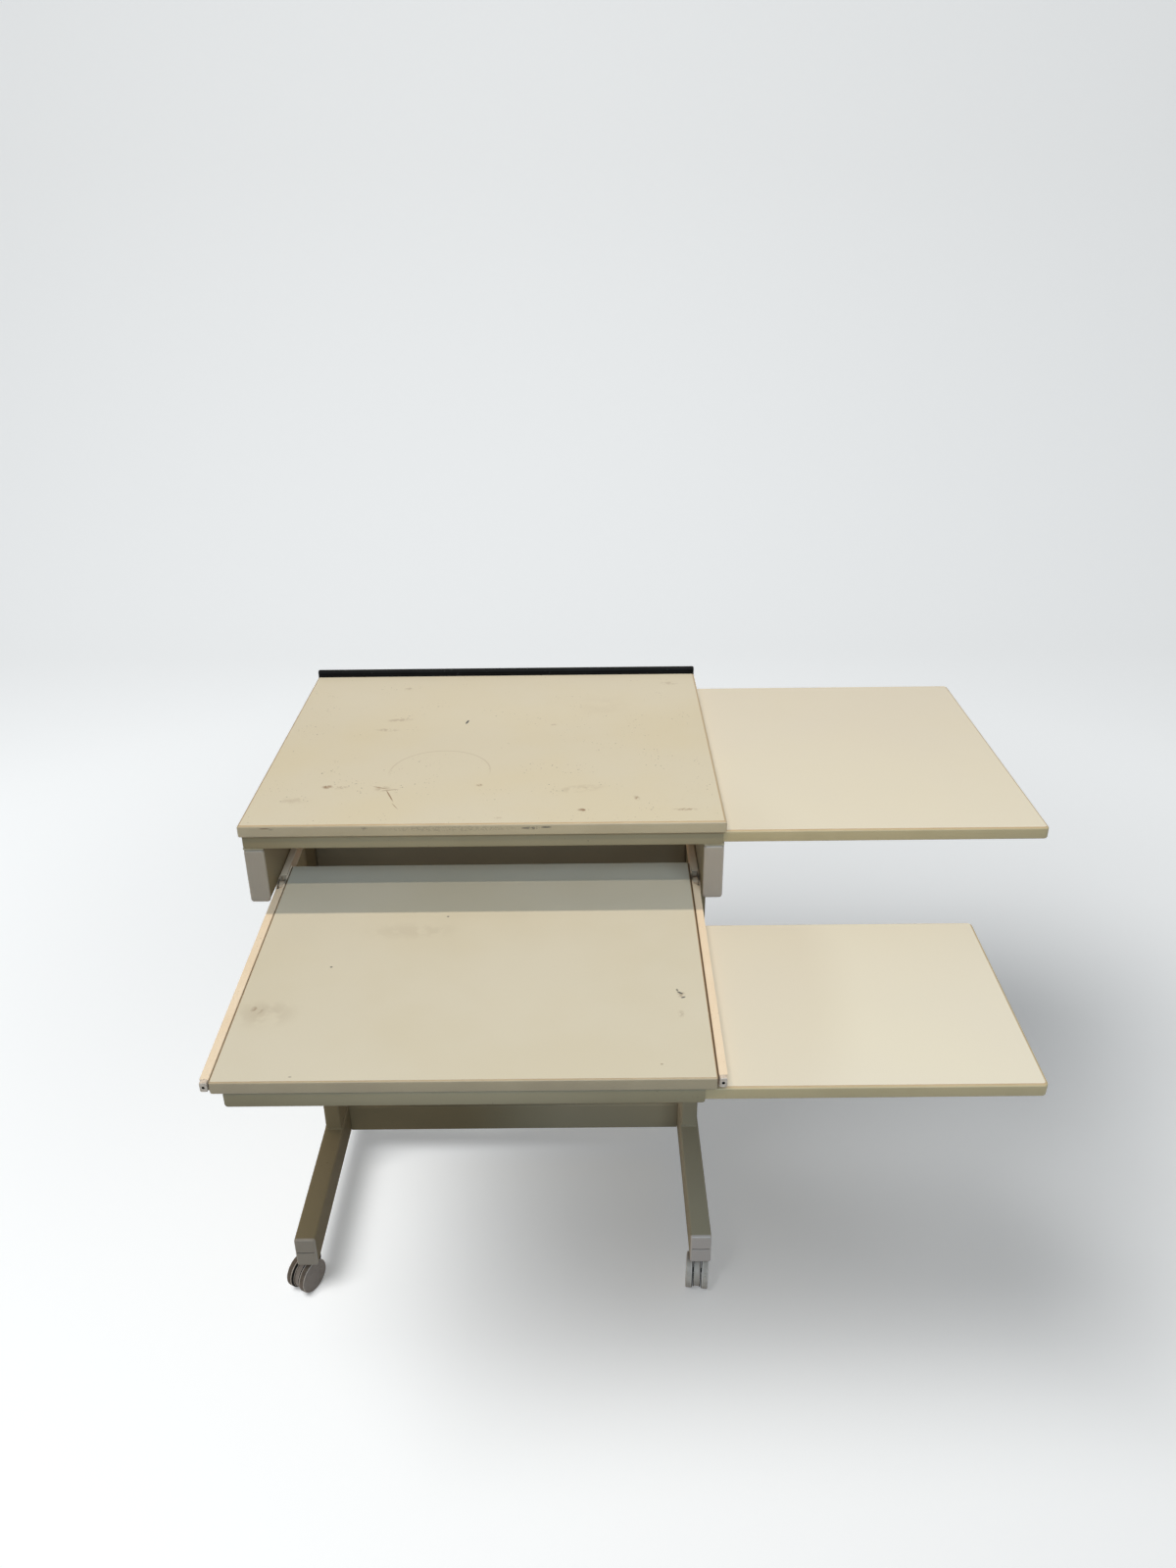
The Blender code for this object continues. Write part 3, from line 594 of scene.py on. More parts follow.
def folded_section(
    back: float, flange: Pair, heights: Sequence[float], sheet: float, bend: float, facing: int
) -> Array:
    """Outline of a C section bent from sheet, from the tip of its lower flange round to its inside.

    Each bend is a quarter circle of radius bend outside and bend - sheet inside.

    Args:
        back: place of the web's outer face.
        flange: depths of the lower and upper flange.
        heights: of the section's lower and upper face.
        sheet: the metal's thickness.
        bend: outer radius of the bends.
        facing: 1 if the flanges point to higher places, -1 if to lower ones.

    Returns:
        Points in an array of place, (across, height).
    """
    low, high = heights
    rise, depth = quarter(bend, steps=4)
    inner_rise, inner_depth = quarter(bend - sheet, steps=4)
    inner_rise, inner_depth = inner_rise + sheet, inner_depth + sheet
    across = np.concatenate([
        flange[:1], depth, depth[::-1], [flange[1], flange[1]],
        inner_depth, inner_depth[::-1], flange[:1],
    ])
    upward = np.concatenate([
        [low], low + rise, high - rise[::-1], [high, high - sheet],
        high - inner_rise, low + inner_rise[::-1], [low + sheet],
    ])
    return np.stack([back + facing * across, upward], axis=-1)


@dataclass(frozen=True)
class ScrewHead:
    """A pan head with a cross recess. All but its radius is in shares of the radius."""

    circles: ClassVar[Array] = np.concatenate([
        [0.04], np.linspace(0.12, 0.66, num=9), np.linspace(0.74, 1.0, num=5)
    ])
    radius: float = 4.2 * MM
    height: float = 0.62
    fall: float = 0.75
    recess: float = 0.34
    arm: Pair = (0.58, 0.08)
    half_width: Pair = (0.15, 0.05)
    steps: int = 40

    def bar(self, along: Array, across: Array) -> Array:
        """How deep a bar of the cross is, fading out at its ends and sides.

        Args:
            along: places along the bar, from the head's middle.
            across: places across it.

        Returns:
            The depth at each place, from 0 to 1.
        """
        (length, end_fade), (width, side_fade) = self.arm, self.half_width
        ends = np.clip((length - np.abs(along)) / end_fade, 0, 1)
        return ends * np.clip((width - np.abs(across)) / side_fade, 0, 1)

    def at(self, centres: Sequence[Sequence[float]], facing: Array) -> Skin:
        """Heads as heights over a grid of distance and angle, each with a skirt down to its seat.

        The dome is h sqrt(1 - 0.75 r^2), less the deeper of the recess's two bars.

        Args:
            centres: where the heads sit.
            facing: the way that they point.

        Returns:
            All the heads as one surface.
        """
        share, angle = self.circles[:, None], full_turn(self.steps)
        a, b = share * np.cos(angle), share * np.sin(angle)
        cross = np.maximum(self.bar(a, b), self.bar(b, a))
        height = self.height * np.sqrt(1 - self.fall * share**2) - self.recess * cross
        a, b, height = (np.concatenate([part, last]) for part, last in (
            (a, a[-1:]), (b, b[-1:]), (height, np.zeros((1, self.steps)))
        ))
        first = np.cross(UP, facing)
        axes = np.stack([unit(first), np.cross(facing, first), facing])
        shape = self.radius * np.stack([a, b, height], axis=-1) @ axes
        return Skin.joined(loft(shape + centre) for centre in np.array(centres))


@dataclass(frozen=True)
class MarkLook:
    """How a mark fades out, in half sizes from its centre, and the pattern that breaks it up."""

    fade: Pair
    broken: Pair | None = None
    fleck: float | None = None
    detail: float = 3.0


class MarkKind(Enum):
    """What a mark looks like: soft, crisp, a ring's far half, many fine flecks, or even."""

    SMUDGE = MarkLook((0.2, 1.0), (0.38, 0.58), detail=5.0)
    SCRATCH = MarkLook((0.5, 1.0), (0.25, 0.40), 4.0 * MM)
    RING = MarkLook((0.004, 0.024), (-0.3, 0.4))
    SCUFF = MarkLook((0.4, 1.0), (0.46, 0.60), 1.7 * MM)
    EVEN = MarkLook((0.6, 1.0))


class Tint(Enum):
    """What a mark leaves on the surface, in the order that the layers lie in: stains and painted
    shade, painted light, grime and painted shade.
    """

    STAIN = "stain"
    DUST = "dust"
    GRIME = "grime"


SMUDGE, SCRATCH, RING, SCUFF, EVEN = MarkKind
STAIN, DUST, GRIME = Tint


@dataclass(frozen=True)
class Mark:
    """A mark on a surface, of use or of painted light and shade, as an ellipsoid in the frame's axes.
    """

    kind: MarkKind
    centre: Triple
    half: Triple
    turn: float = 0.0
    strength: float = 0.6
    tint: Tint = STAIN


class Graph:
    """The node tree of a material or world, with short calls for the nodes that are used here."""

    smudge_fleck: float = 0.7

    def __init__(self, owner: bpy.types.Material | bpy.types.World) -> None:
        """Start from the tree that a new material or world has.

        Args:
            owner: the material or world.
        """
        owner.use_nodes = True
        self.owner = owner
        self.tree = owner.node_tree

    @cached_property
    def place(self) -> Socket:
        """The object's own coordinates."""
        return self.add("TexCoord", {}).outputs["Object"]

    def feed(self, node: bpy.types.Node, inputs: dict[str | int, Value]) -> None:
        """Set inputs to numbers or colours, or link other nodes' outputs to them.

        Args:
            node: the node.
            inputs: what each of its inputs gets.
        """
        for name, value in inputs.items():
            entry = node.inputs[name]
            if isinstance(value, Socket):
                self.tree.links.new(value, entry)
            else:
                entry.default_value = (*value, 1.0) if entry.type == "RGBA" else value

    def add(self, kind: str, inputs: dict[str | int, Value], **settings: str) -> bpy.types.Node:
        """Add a node.

        Args:
            kind: its type's name, without the part that all of them start with.
            inputs: what each of its inputs gets.
            settings: its own settings, such as the operation.

        Returns:
            The node.
        """
        node = self.tree.nodes.new(f"ShaderNode{kind}")
        for name, setting in settings.items():
            setattr(node, name, setting)
        self.feed(node, inputs)
        return node

    def noise(self, size: float, detail: float = 3.0) -> Socket:
        """Cloudy noise from 0 to 1 whose features are about as large as size, in metres."""
        inputs = {"Vector": self.place, "Scale": 1.0 / size, "Detail": detail}
        return self.add("TexNoise", inputs).outputs["Fac"]

    def between(
        self, value: Value, low: float, high: float, to_low: float = 0.0, to_high: float = 1.0
    ) -> Socket:
        """Carry values from low to high over to another range, smoothly and kept within it."""
        inputs = {
            "Value": value, "From Min": low, "From Max": high, "To Min": to_low, "To Max": to_high,
        }
        return self.add("MapRange", inputs, interpolation_type="SMOOTHSTEP").outputs["Result"]

    def combine(self, operation: str, first: Value, second: Value) -> Socket:
        """One of the Math node's operations on two values."""
        return self.add("Math", {0: first, 1: second}, operation=operation).outputs["Value"]

    def greatest(self, values: Sequence[Socket]) -> Socket:
        """The greatest of some values."""
        return reduce(lambda first, second: self.combine("MAXIMUM", first, second), values)

    def length(self, vector: Socket) -> Socket:
        """How long a vector is."""
        return self.add("VectorMath", {0: vector}, operation="LENGTH").outputs["Value"]

    def seen(self) -> Socket:
        """1 for rays from the camera, straight or by way of a gloss or glass, else 0."""
        path, rays = self.add("LightPath", {}).outputs, ("Camera", "Glossy", "Transmission")
        return self.greatest([path[f"Is {ray} Ray"] for ray in rays])

    def mix(self, share: Value, first: Value, second: Value) -> Socket:
        """Blend from one colour to another.

        Args:
            share: of the second colour.
            first: the colour at share 0.
            second: the colour at share 1.

        Returns:
            The blended colour.
        """
        node = self.add("Mix", {"Factor": share}, data_type="RGBA")
        numbers = [number for number, entry in enumerate(node.inputs) if entry.type == "RGBA"]
        self.feed(node, dict(zip(numbers, (first, second))))
        return next(entry for entry in node.outputs if entry.type == "RGBA")

    def mark(self, mark: Mark) -> Socket:
        """Where a mark shows: its distance from the centre in half sizes, faded out and broken up.

        Args:
            mark: the mark.

        Returns:
            The output with the mark's share of the surface.
        """
        look, turn = mark.kind.value, (0.0, 0.0, math.radians(mark.turn))
        inputs = {
            "Vector": self.place, "Location": mark.centre, "Rotation": turn, "Scale": mark.half,
        }
        where = self.add("Mapping", inputs, vector_type="TEXTURE").outputs["Vector"]
        away = self.length(where)
        if mark.kind is RING:
            away = self.combine("ABSOLUTE", self.combine("SUBTRACT", away, 1.0), 0.0)
        shown = self.between(away, *look.fade, mark.strength, 0.0)
        if look.broken is None:
            return shown
        if mark.kind is RING:
            pattern = self.add("SeparateXYZ", {0: where}).outputs["Y"]
        else:
            pattern = self.noise(look.fleck or self.smudge_fleck * min(mark.half), look.detail)
        return self.combine("MULTIPLY", shown, self.between(pattern, *look.broken))

    def marks(self, base: Socket, marks: Sequence[Mark], colours: dict[Tint, Colour]) -> Socket:
        """Lay marks over a colour, tint by tint.

        Args:
            base: the colour under the marks.
            marks: all the marks.
            colours: of the tints, in the order that they are laid on.

        Returns:
            The colour with its marks.
        """
        for tint, colour in colours.items():
            chosen = [self.mark(mark) for mark in marks if mark.tint is tint]
            if chosen:
                base = self.mix(self.greatest(chosen), base, colour)
        return base


@dataclass(frozen=True)
class Coat:
    """A finish: a colour with soft blotches, fine grain, specks, marks of use and painted light and
    shade.
    """

    name: str
    colour: Colour
    blotch: Colour
    blotch_size: float = 0.16
    speck: Colour = (0.20, 0.16, 0.11)
    speck_size: float = 3.0 * MM
    speck_share: float = 0.0
    roughness: float = 0.48
    roughness_swing: float = 0.04
    grain_size: float = 0.6 * MM
    grain_depth: float = 0.01 * MM
    grain_share: float = 0.05
    metallic: float = 0.0
    specular: float = 0.5
    # Colours of the three tints: stains and painted shade, painted light, grime and painted shade.
    stain: Colour = (0.36, 0.25, 0.15)
    dust: Colour = (0.70, 0.62, 0.52)
    grime: Colour = (0.06, 0.055, 0.05)
    marks: tuple[Mark, ...] = ()
    cloud_range: ClassVar[Pair] = (0.35, 0.70)
    grain_range: ClassVar[Pair] = (0.45, 0.80)
    grain_most: ClassVar[float] = 0.5
    grain_dark: ClassVar[float] = 4.0
    speck_limit: ClassVar[Pair] = (0.72, 0.12)
    speck_fade: ClassVar[float] = 0.05
    patch_sizes: ClassVar[float] = 18.0
    patch_range: ClassVar[Pair] = (0.48, 0.66)
    sheen_range: ClassVar[Pair] = (0.3, 0.7)

    def grained(self, graph: Graph, grain: Socket) -> Socket:
        """The colour with its blotches and grain.

        Args:
            graph: the material's nodes.
            grain: the noise that the grain follows.

        Returns:
            The colour.
        """
        cloud = graph.between(graph.noise(self.blotch_size), *self.cloud_range)
        deeper = tuple(part * (1 - self.grain_dark * self.grain_share) for part in self.colour)
        dips = graph.between(grain, *self.grain_range, 0.0, self.grain_most)
        return graph.mix(dips, graph.mix(cloud, self.colour, self.blotch), deeper)

    def specks(self, graph: Graph) -> Socket:
        """Where specks show: peaks of a fine noise, within patches of a coarse one.

        Args:
            graph: the material's nodes.

        Returns:
            The share of the specks.
        """
        most, lower = self.speck_limit
        limit = most - lower * self.speck_share
        fine = graph.noise(self.speck_size, detail=1.0)
        coarse = graph.noise(self.speck_size * self.patch_sizes, detail=2.0)
        peaks = graph.between(fine, limit, limit + self.speck_fade)
        patches = graph.between(coarse, *self.patch_range)
        return graph.combine("MULTIPLY", peaks, patches)

    def material(self) -> bpy.types.Material:
        """Build the finish's material.

        The grain's noise also drives a bump, and a soft noise swings the roughness.

        Returns:
            The material.
        """
        graph = Graph(bpy.data.materials.new(self.name))
        grain = graph.noise(self.grain_size, detail=2.0)
        colour = self.grained(graph, grain)
        if self.speck_share > 0:
            colour = graph.mix(self.specks(graph), colour, self.speck)
        tints = {STAIN: self.stain, DUST: self.dust, GRIME: self.grime}
        colour = graph.marks(colour, self.marks, tints)
        sheen = graph.noise(self.blotch_size / 3, detail=4.0)
        low, high = self.roughness - self.roughness_swing, self.roughness + self.roughness_swing
        bump = graph.add("Bump", {"Height": grain, "Distance": self.grain_depth, "Strength": 1.0})
        graph.feed(graph.tree.nodes["Principled BSDF"], {
            "Base Color": colour,
            "Roughness": graph.between(sheen, *self.sheen_range, low, high),
            "Metallic": self.metallic,
            "Specular IOR Level": self.specular,
            "Normal": bump.outputs["Normal"],
        })
        return graph.owner


# Rows of marks: kind, place, half sizes, turn, strength, tint. Places are millimetres to the right
# and back from the middle of the top's front edge, or to the right and down on the edge's face.
TOP_MARKS = (
    (RING, -67, 149, 67, 67, 0, 0.24, STAIN),
    (SCRATCH, -45, 316, 2.2, 9.0, -12, 1.0, GRIME),
    (SMUDGE, -209, 107, 9, 8, 0, 0.95, STAIN),
    (SMUDGE, -192, 105, 14, 6, 0, 0.5, STAIN),
    (SCRATCH, -139, 103, 14, 1.2, -22, 0.9, STAIN),
    (SCRATCH, -126, 96, 15, 1.1, 12, 0.8, STAIN),
    (SCRATCH, -124, 80, 1.3, 22, 22, 0.9, STAIN),
    (SCRATCH, -113, 50, 0.8, 12, 30, 0.7, STAIN),
    (SMUDGE, -136, 100, 14, 10, 0, 0.4, STAIN),
    (SMUDGE, 124, 35, 9, 6, 0, 1.0, STAIN),
    (SMUDGE, -144, 326, 28, 8, 8, 0.5, STAIN),
    (SMUDGE, -158, 290, 22, 7, -6, 0.45, STAIN),
    (SMUDGE, -11, 108, 6, 5, 0, 0.7, STAIN),
    (SMUDGE, 81, 303, 6, 4, 0, 0.7, STAIN),
    (SMUDGE, 192, 67, 5, 9, 20, 0.7, STAIN),
    (SMUDGE, 252, 34, 20, 5, 0, 0.6, STAIN),
    (SMUDGE, 258, 462, 18, 9, 0, 0.5, STAIN),
    (SMUDGE, -148, 449, 9, 7, 0, 0.5, STAIN),
    (SMUDGE, -246, 69, 28, 12, 0, 0.2, STAIN),
    (SMUDGE, 120, 95, 40, 14, 10, 0.25, STAIN),
    (SMUDGE, 19, 16, 7, 4, 0, 0.35, STAIN),
    (SMUDGE, 160, 373, 60, 60, 0, 0.10, STAIN),
    # Painted light: the rear part of the top is lightened evenly.
    (EVEN, 0, 560, 520, 330, 0, 0.35, DUST),
)
TRAY_MARKS = (
    (SMUDGE, -238, -209, 11, 12, 0, 0.75, STAIN),
    (SMUDGE, -228, -216, 46, 30, 0, 0.22, STAIN),
    (SMUDGE, 233, -189, 6, 7, 0, 0.6, STAIN),
    (SCRATCH, 232, -186, 5, 1.6, -35, 1.0, GRIME),
    (SCRATCH, 235, -194, 3.5, 1.4, 20, 1.0, GRIME),
    (SCRATCH, 229, -181, 1.6, 2.6, 20, 0.8, GRIME),
    (SMUDGE, 231, -222, 5, 8, 0, 0.35, STAIN),
    (SCRATCH, -170, -133, 2.0, 1.6, 0, 0.9, GRIME),
    (SCRATCH, -44, -34, 1.8, 1.6, 0, 0.9, GRIME),
    (SCRATCH, -179, -316, 2.2, 1.2, 0, 0.5, GRIME),
    (SCRATCH, 205, -302, 2, 1.4, 0, 0.7, STAIN),
    (SMUDGE, -85, -63, 70, 22, 0, 0.14, STAIN),
)
EDGE_MARKS = (
    (EVEN, -240, 8, 160, 16, 0, 0.14, GRIME),
    (SCUFF, -40, 6, 118, 5, 0, 0.28, GRIME),
    (SMUDGE, -145, 5, 8, 4, 0, 0.6, GRIME),
    (SMUDGE, 62, 6, 14, 3, 0, 0.8, GRIME),
    (SCRATCH, 54, 6, 7, 1.2, 4, 0.85, GRIME),
    (SCRATCH, 79, 5, 8, 1.3, -6, 0.95, GRIME),
    (SCRATCH, -266, 3.5, 8, 1.1, -3, 0.8, STAIN),
    (SCRATCH, -258, 5, 4, 0.9, 0, 0.6, GRIME),
)


@dataclass(frozen=True)
class WearAndPaintedLight:
    """Marks of use, and painted light and shade, placed from the middle of the top's front edge or
    from CAD nodes.
    """

    corner: Array = field(default_factory=top_corner)
    deep: float = 4.0

    def level(self, rows: Iterable[Sequence]) -> tuple[Mark, ...]:
        """Marks on a level face.

        Args:
            rows: of a table, with places to the right and back.

        Returns:
            The marks.
        """
        return tuple(
            Mark(
                kind, tuple(self.corner + (x * MM, y * MM, 0.0)),
                (a * MM, b * MM, self.deep), *look,
            )
            for kind, x, y, a, b, *look in rows
        )

    def upright(self, rows: Iterable[Sequence]) -> tuple[Mark, ...]:
        """Marks on a front face.

        Args:
            rows: of a table, with places to the right and down.

        Returns:
            The marks.
        """
        return tuple(
            Mark(
                kind, tuple(self.corner + (x * MM, 0.0, -z * MM)),
                (a * MM, self.deep, b * MM), *look,
            )
            for kind, x, z, a, b, *look in rows
        )

    def gaps(self, left: float, right: float) -> tuple[Mark, ...]:
        """Painted shade, with some brown dirt, in the gaps between the tray and its runners.

        Args:
            left: how far it goes from the tray's left edge, in millimetres.
            right: how far it goes from the right edge.

        Returns:
            The two marks.
        """
        box, strength = UPRIGHT.box("tray_board"), 0.92
        return tuple(
            Mark(EVEN, (edge, 0.0, 0.0), (reach * MM, self.deep, self.deep), strength=strength)
            for edge, reach in ((box.low[X], left), (box.high[X], right))
        )

    def patch(self, node: str, reach: float, tint: Tint, strength: float) -> Mark:
        """A soft patch over a CAD node, and so many millimetres past its sides."""
        box = UPRIGHT.box(node)
        return Mark(EVEN, tuple(box.middle), tuple(box.size / 2 + reach * MM), 0.0, strength, tint)

    def shade_under_top(self, reach: float, strength: float) -> Mark:
        """Painted shade on what lies under the top, over twice reach millimetres from front to back.
        """
        centre, half_height = tuple(self.corner + (0.0, reach * MM, 0.0)), 0.13
        return Mark(EVEN, centre, (self.deep, reach * MM, half_height), 0.0, strength)

    def joints(self) -> tuple[Mark, ...]:
        """Painted shadow lines where a channel meets the front edge of the top and of the tray.

        Returns:
            The two marks.
        """
        half, strength = (self.deep, 30 * MM, 0.9 * MM), 0.8
        lows = [UPRIGHT.box(node).low for node in ("top_board", "tray_board")]
        return tuple(Mark(EVEN, (0.0, low[Y], low[Z]), half, 0.0, strength, GRIME) for low in lows)


def desk_coats() -> tuple[Coat, ...]:
    """Every finish of the desk: name, colour, its blotches' colour and size, the rest by name.

    Returns:
        The finishes.
    """
    wear_and_light = WearAndPaintedLight()
    joints = wear_and_light.joints()
    # Painted light on the caps: the left foot's caps darker, the right foot's and the front right
    # arm's lighter.
    cap_painted_light = (
        wear_and_light.patch("foot_left", 300, STAIN, 0.42), wear_and_light.patch("foot_right", 300, DUST, 0.6),
        wear_and_light.patch("arm_cap_front_right", 30, DUST, 0.14),
    )
    # Painted light on the steel: the left foot, the left arm and both columns darker, the right foot
    # and the tray's front channel lighter.
    steel_painted_light = (
        wear_and_light.patch("foot_left", 300, STAIN, 0.58), wear_and_light.patch("foot_right", 300, DUST, 0.8),
        wear_and_light.patch("arm_left", 120, STAIN, 0.5), wear_and_light.patch("column_left", 18, STAIN, 0.75),
        wear_and_light.patch("column_right", 18, STAIN, 0.75),
        wear_and_light.patch("tray_front_channel", 12, DUST, 0.35),
    )
    # Painted shade on the runners under the top, and grime with painted shade in the dark gaps round
    # the cabinet rollers.
    runner_grime_and_shade = (
        wear_and_light.shade_under_top(320, 0.65), wear_and_light.patch("cabinet_roller_left", 7, GRIME, 0.8),
        wear_and_light.patch("cabinet_roller_right", 9, GRIME, 0.8),
    )
    return (
        Coat("top_laminate", (0.65, 0.575, 0.435), (0.65, 0.565, 0.405), speck_share=0.12,
             grain_share=0.03, stain=(0.26, 0.15, 0.075), dust=(0.72, 0.655, 0.525),
             marks=wear_and_light.level(TOP_MARKS)),
        Coat("tray_laminate", (0.625, 0.555, 0.43), (0.605, 0.53, 0.395), grain_share=0.025,
             stain=(0.27, 0.19, 0.12), marks=wear_and_light.level(TRAY_MARKS)),
        # The leaves are darkened a little near the tray's right runner.
        Coat("leaf_laminate", (0.725, 0.65, 0.525), (0.735, 0.66, 0.52), 0.3, roughness=0.44,
             grain_share=0.02, marks=(wear_and_light.patch("drawer_runner_right", 180, STAIN, 0.12),)),
        Coat("laminate_core", (0.47, 0.325, 0.18), (0.52, 0.37, 0.215), 0.03, roughness=0.6),
        Coat("edge_banding", (0.475, 0.373, 0.235), (0.44, 0.343, 0.215), 0.05, roughness=0.42,
             stain=(0.18, 0.1, 0.05), grime=(0.1, 0.085, 0.065),
             marks=wear_and_light.upright(EDGE_MARKS) + joints),
        # The tray banding's stain and grime colours paint the shade in the gaps by the runners and
        # the shadow line at the channel.
        Coat("tray_edge_banding", (0.4, 0.31, 0.192), (0.37, 0.285, 0.178), 0.05, roughness=0.42,
             stain=(0.13, 0.068, 0.028), grime=(0.05, 0.033, 0.02),
             marks=wear_and_light.gaps(0.9, 1.5) + joints),
        Coat("leaf_edge_banding", (0.48, 0.37, 0.202), (0.45, 0.347, 0.188), 0.05, roughness=0.42),
        Coat("board_backing", (0.45, 0.34, 0.2), (0.42, 0.315, 0.185), 0.08, roughness=0.62,
             grain_share=0.06),
        # The panel's stain colour paints a warm shade over its upper part, under the top.
        Coat("panel_laminate", (0.222, 0.182, 0.116), (0.208, 0.168, 0.107), 0.12, roughness=0.64,
             roughness_swing=0.01, specular=0.16, stain=(0.212, 0.124, 0.034),
             marks=(wear_and_light.shade_under_top(600, 0.92),)),
        Coat("soft_black_strip", (0.006, 0.006, 0.006), (0.008, 0.008, 0.008), 0.04,
             speck=(0.05, 0.05, 0.05), speck_share=0.15, roughness=0.46, grain_share=0.1,
             specular=0.06),
        # The steel's stain and dust colours paint its shade and light, and its grime colour paints
        # the shadow lines at the joints.
        Coat("painted_steel", (0.305, 0.248, 0.152), (0.285, 0.23, 0.14), 0.1,
             speck=(0.16, 0.12, 0.08), speck_share=0.1, roughness=0.62, roughness_swing=0.01,
             grain_size=1.4 * MM, grain_depth=0.02 * MM, grain_share=0.03, specular=0.12,
             stain=(0.2, 0.137, 0.062), dust=(0.43, 0.355, 0.235), grime=(0.09, 0.075, 0.052),
             marks=steel_painted_light + joints),
        # A lighter copy of the painted steel for the bearers: painted light.
        Coat("rubbed_steel", (0.47, 0.4, 0.27), (0.43, 0.36, 0.24), 0.05, roughness=0.5,
             specular=0.2),
        # The stain and dust colours of both cap plastics paint shade and light on the caps.
        Coat("moulded_grey_plastic", (0.328, 0.268, 0.203), (0.308, 0.25, 0.188), 0.06,
             roughness=0.45, grain_depth=0.02 * MM, stain=(0.195, 0.155, 0.11),
             dust=(0.7, 0.575, 0.5), marks=cap_painted_light),
        # A lighter copy of the cap plastic for the rims: painted highlight.
        Coat("rubbed_grey_plastic", (0.39, 0.321, 0.246), (0.365, 0.298, 0.226), 0.02,
             roughness=0.42, grain_depth=0.02 * MM, stain=(0.24, 0.19, 0.14),
             dust=(0.77, 0.64, 0.55), marks=cap_painted_light),
        # A dark finish for the caps' grooves: painted shade.
        Coat("moulded_groove", (0.1, 0.079, 0.062), (0.12, 0.095, 0.075), 0.01, roughness=0.6,
             specular=0.2),
        # Near black, for grime and painted shade in the casters' gaps and the end pieces' holes.
        Coat("grime", (0.018, 0.014, 0.01), (0.03, 0.024, 0.018), 0.006, roughness=0.8,
             specular=0.2),
        # The runners' stain colour paints the shade in the gaps and under the top. The grime colour
        # paints grime and shade round the rollers.
        Coat("cream_epoxy", (0.82, 0.655, 0.475), (0.79, 0.615, 0.43), 0.05, speck=(0.3, 0.19, 0.1),
             speck_share=0.2, speck_size=1.6 * MM, roughness=0.38, grain_share=0.03,
             stain=(0.13, 0.068, 0.028), grime=(0.035, 0.024, 0.015),
             marks=wear_and_light.gaps(0.5, 0.9) + runner_grime_and_shade),
        Coat("pale_plastic", (0.65, 0.53, 0.425), (0.49, 0.39, 0.305), 0.004, roughness=0.5,
             grain_share=0.06),
        Coat("roller_plastic", (0.62, 0.46, 0.31), (0.52, 0.38, 0.25), 0.01, roughness=0.45,
             specular=0.3),
        Coat("caster_plastic", (0.195, 0.148, 0.115), (0.215, 0.165, 0.128), 0.018,
             speck=(0.32, 0.27, 0.22), speck_share=0.4, speck_size=1.5 * MM, roughness=0.46,
             roughness_swing=0.1),
        Coat("worn_tread", (0.08, 0.053, 0.033), (0.135, 0.092, 0.06), 0.01,
             speck=(0.28, 0.22, 0.17), speck_share=0.8, speck_size=1.8 * MM, roughness=0.62,
             grain_share=0.08),
        Coat("dusty_caster_plastic", (0.45, 0.37, 0.295), (0.56, 0.465, 0.375), 0.014,
             speck=(0.06, 0.05, 0.04), speck_share=0.9, speck_size=1.8 * MM, roughness=0.58,
             roughness_swing=0.12, grain_share=0.08),
        # Lighter edge bands of the caster plastic: painted highlights.
        Coat("worn_caster_edge", (0.55, 0.45, 0.365), (0.4, 0.32, 0.255), 0.008, roughness=0.5,
             grain_share=0.08),
        Coat("dusty_caster_edge", (0.76, 0.65, 0.55), (0.62, 0.53, 0.44), 0.008, roughness=0.5,
             grain_share=0.08),
        Coat("zinc_plate", (0.55, 0.55, 0.54), (0.46, 0.46, 0.44), 0.02, roughness=0.34,
             metallic=1.0),
    )


def add_object(name: str, data: bpy.types.ID) -> bpy.types.Object:
    """Put a new object into the scene.

    Args:
        name: the object's name.
        data: its mesh, light or camera.

    Returns:
        The object.
    """
    made = bpy.data.objects.new(name, data)
    bpy.context.scene.collection.objects.link(made)
    return made


@dataclass(frozen=True)
class Group:
    """A group of the desk's pieces, and the materials by name that they are shown in."""

    materials: dict[str, bpy.types.Material]

    def add(
        self, name: str, skin: Skin, coats: Sequence[str], slot: Slot, body: str = "frame",
        stands_for: Sequence[str] = (),
    ) -> None:
        """Make a surface a piece of the desk that rides on a body.

        Args:
            name: the piece's name.
            skin: its surface, in the frame's axes.
            coats: names of its materials, in the order of the surface's finish numbers.
            slot: not used.
            body: the CAD body that it moves with.
            stands_for: CAD nodes that it is shown in place of.
        """
        skin = skin.outward()
        mesh = bpy.data.meshes.new(name)
        faces = skin.quads.tolist() + [lid.tolist() for lid in skin.lids]
        mesh.from_pydata(skin.points.tolist(), [], faces)
        for coat in coats:
            mesh.materials.append(self.materials[coat])
        numbers = np.concatenate([skin.quad_finish, np.array(skin.lid_finish, int)])
        mesh.polygons.foreach_set("material_index", numbers.astype(np.int32))
        mesh.shade_smooth()
        mesh.set_sharp_from_angle(angle=CREASE)
        piece = add_object(name, mesh)
        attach(piece, body)
        if stands_for:
            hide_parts(*stands_for)
        LOG.info("%s: %d faces on %s", name, len(mesh.polygons), body)

    def dress(
        self, node: str, skin: Skin, coats: Sequence[str], slot: Slot, body: str = "frame"
    ) -> None:
        """Show a surface in place of a CAD node."""
        self.add(f"{node}_dressed", skin, coats, slot, body, [node])

    def coat_node(self, node: str, coat: str) -> None:
        """Give a CAD node that is shown as it is a material.

        Args:
            node: the CAD node's name.
            coat: the material's name.
        """
        materials = frame["nodes"][node].data.materials
        materials.clear()
        materials.append(self.materials[coat])
        LOG.info("%s: CAD node in %s", node, coat)


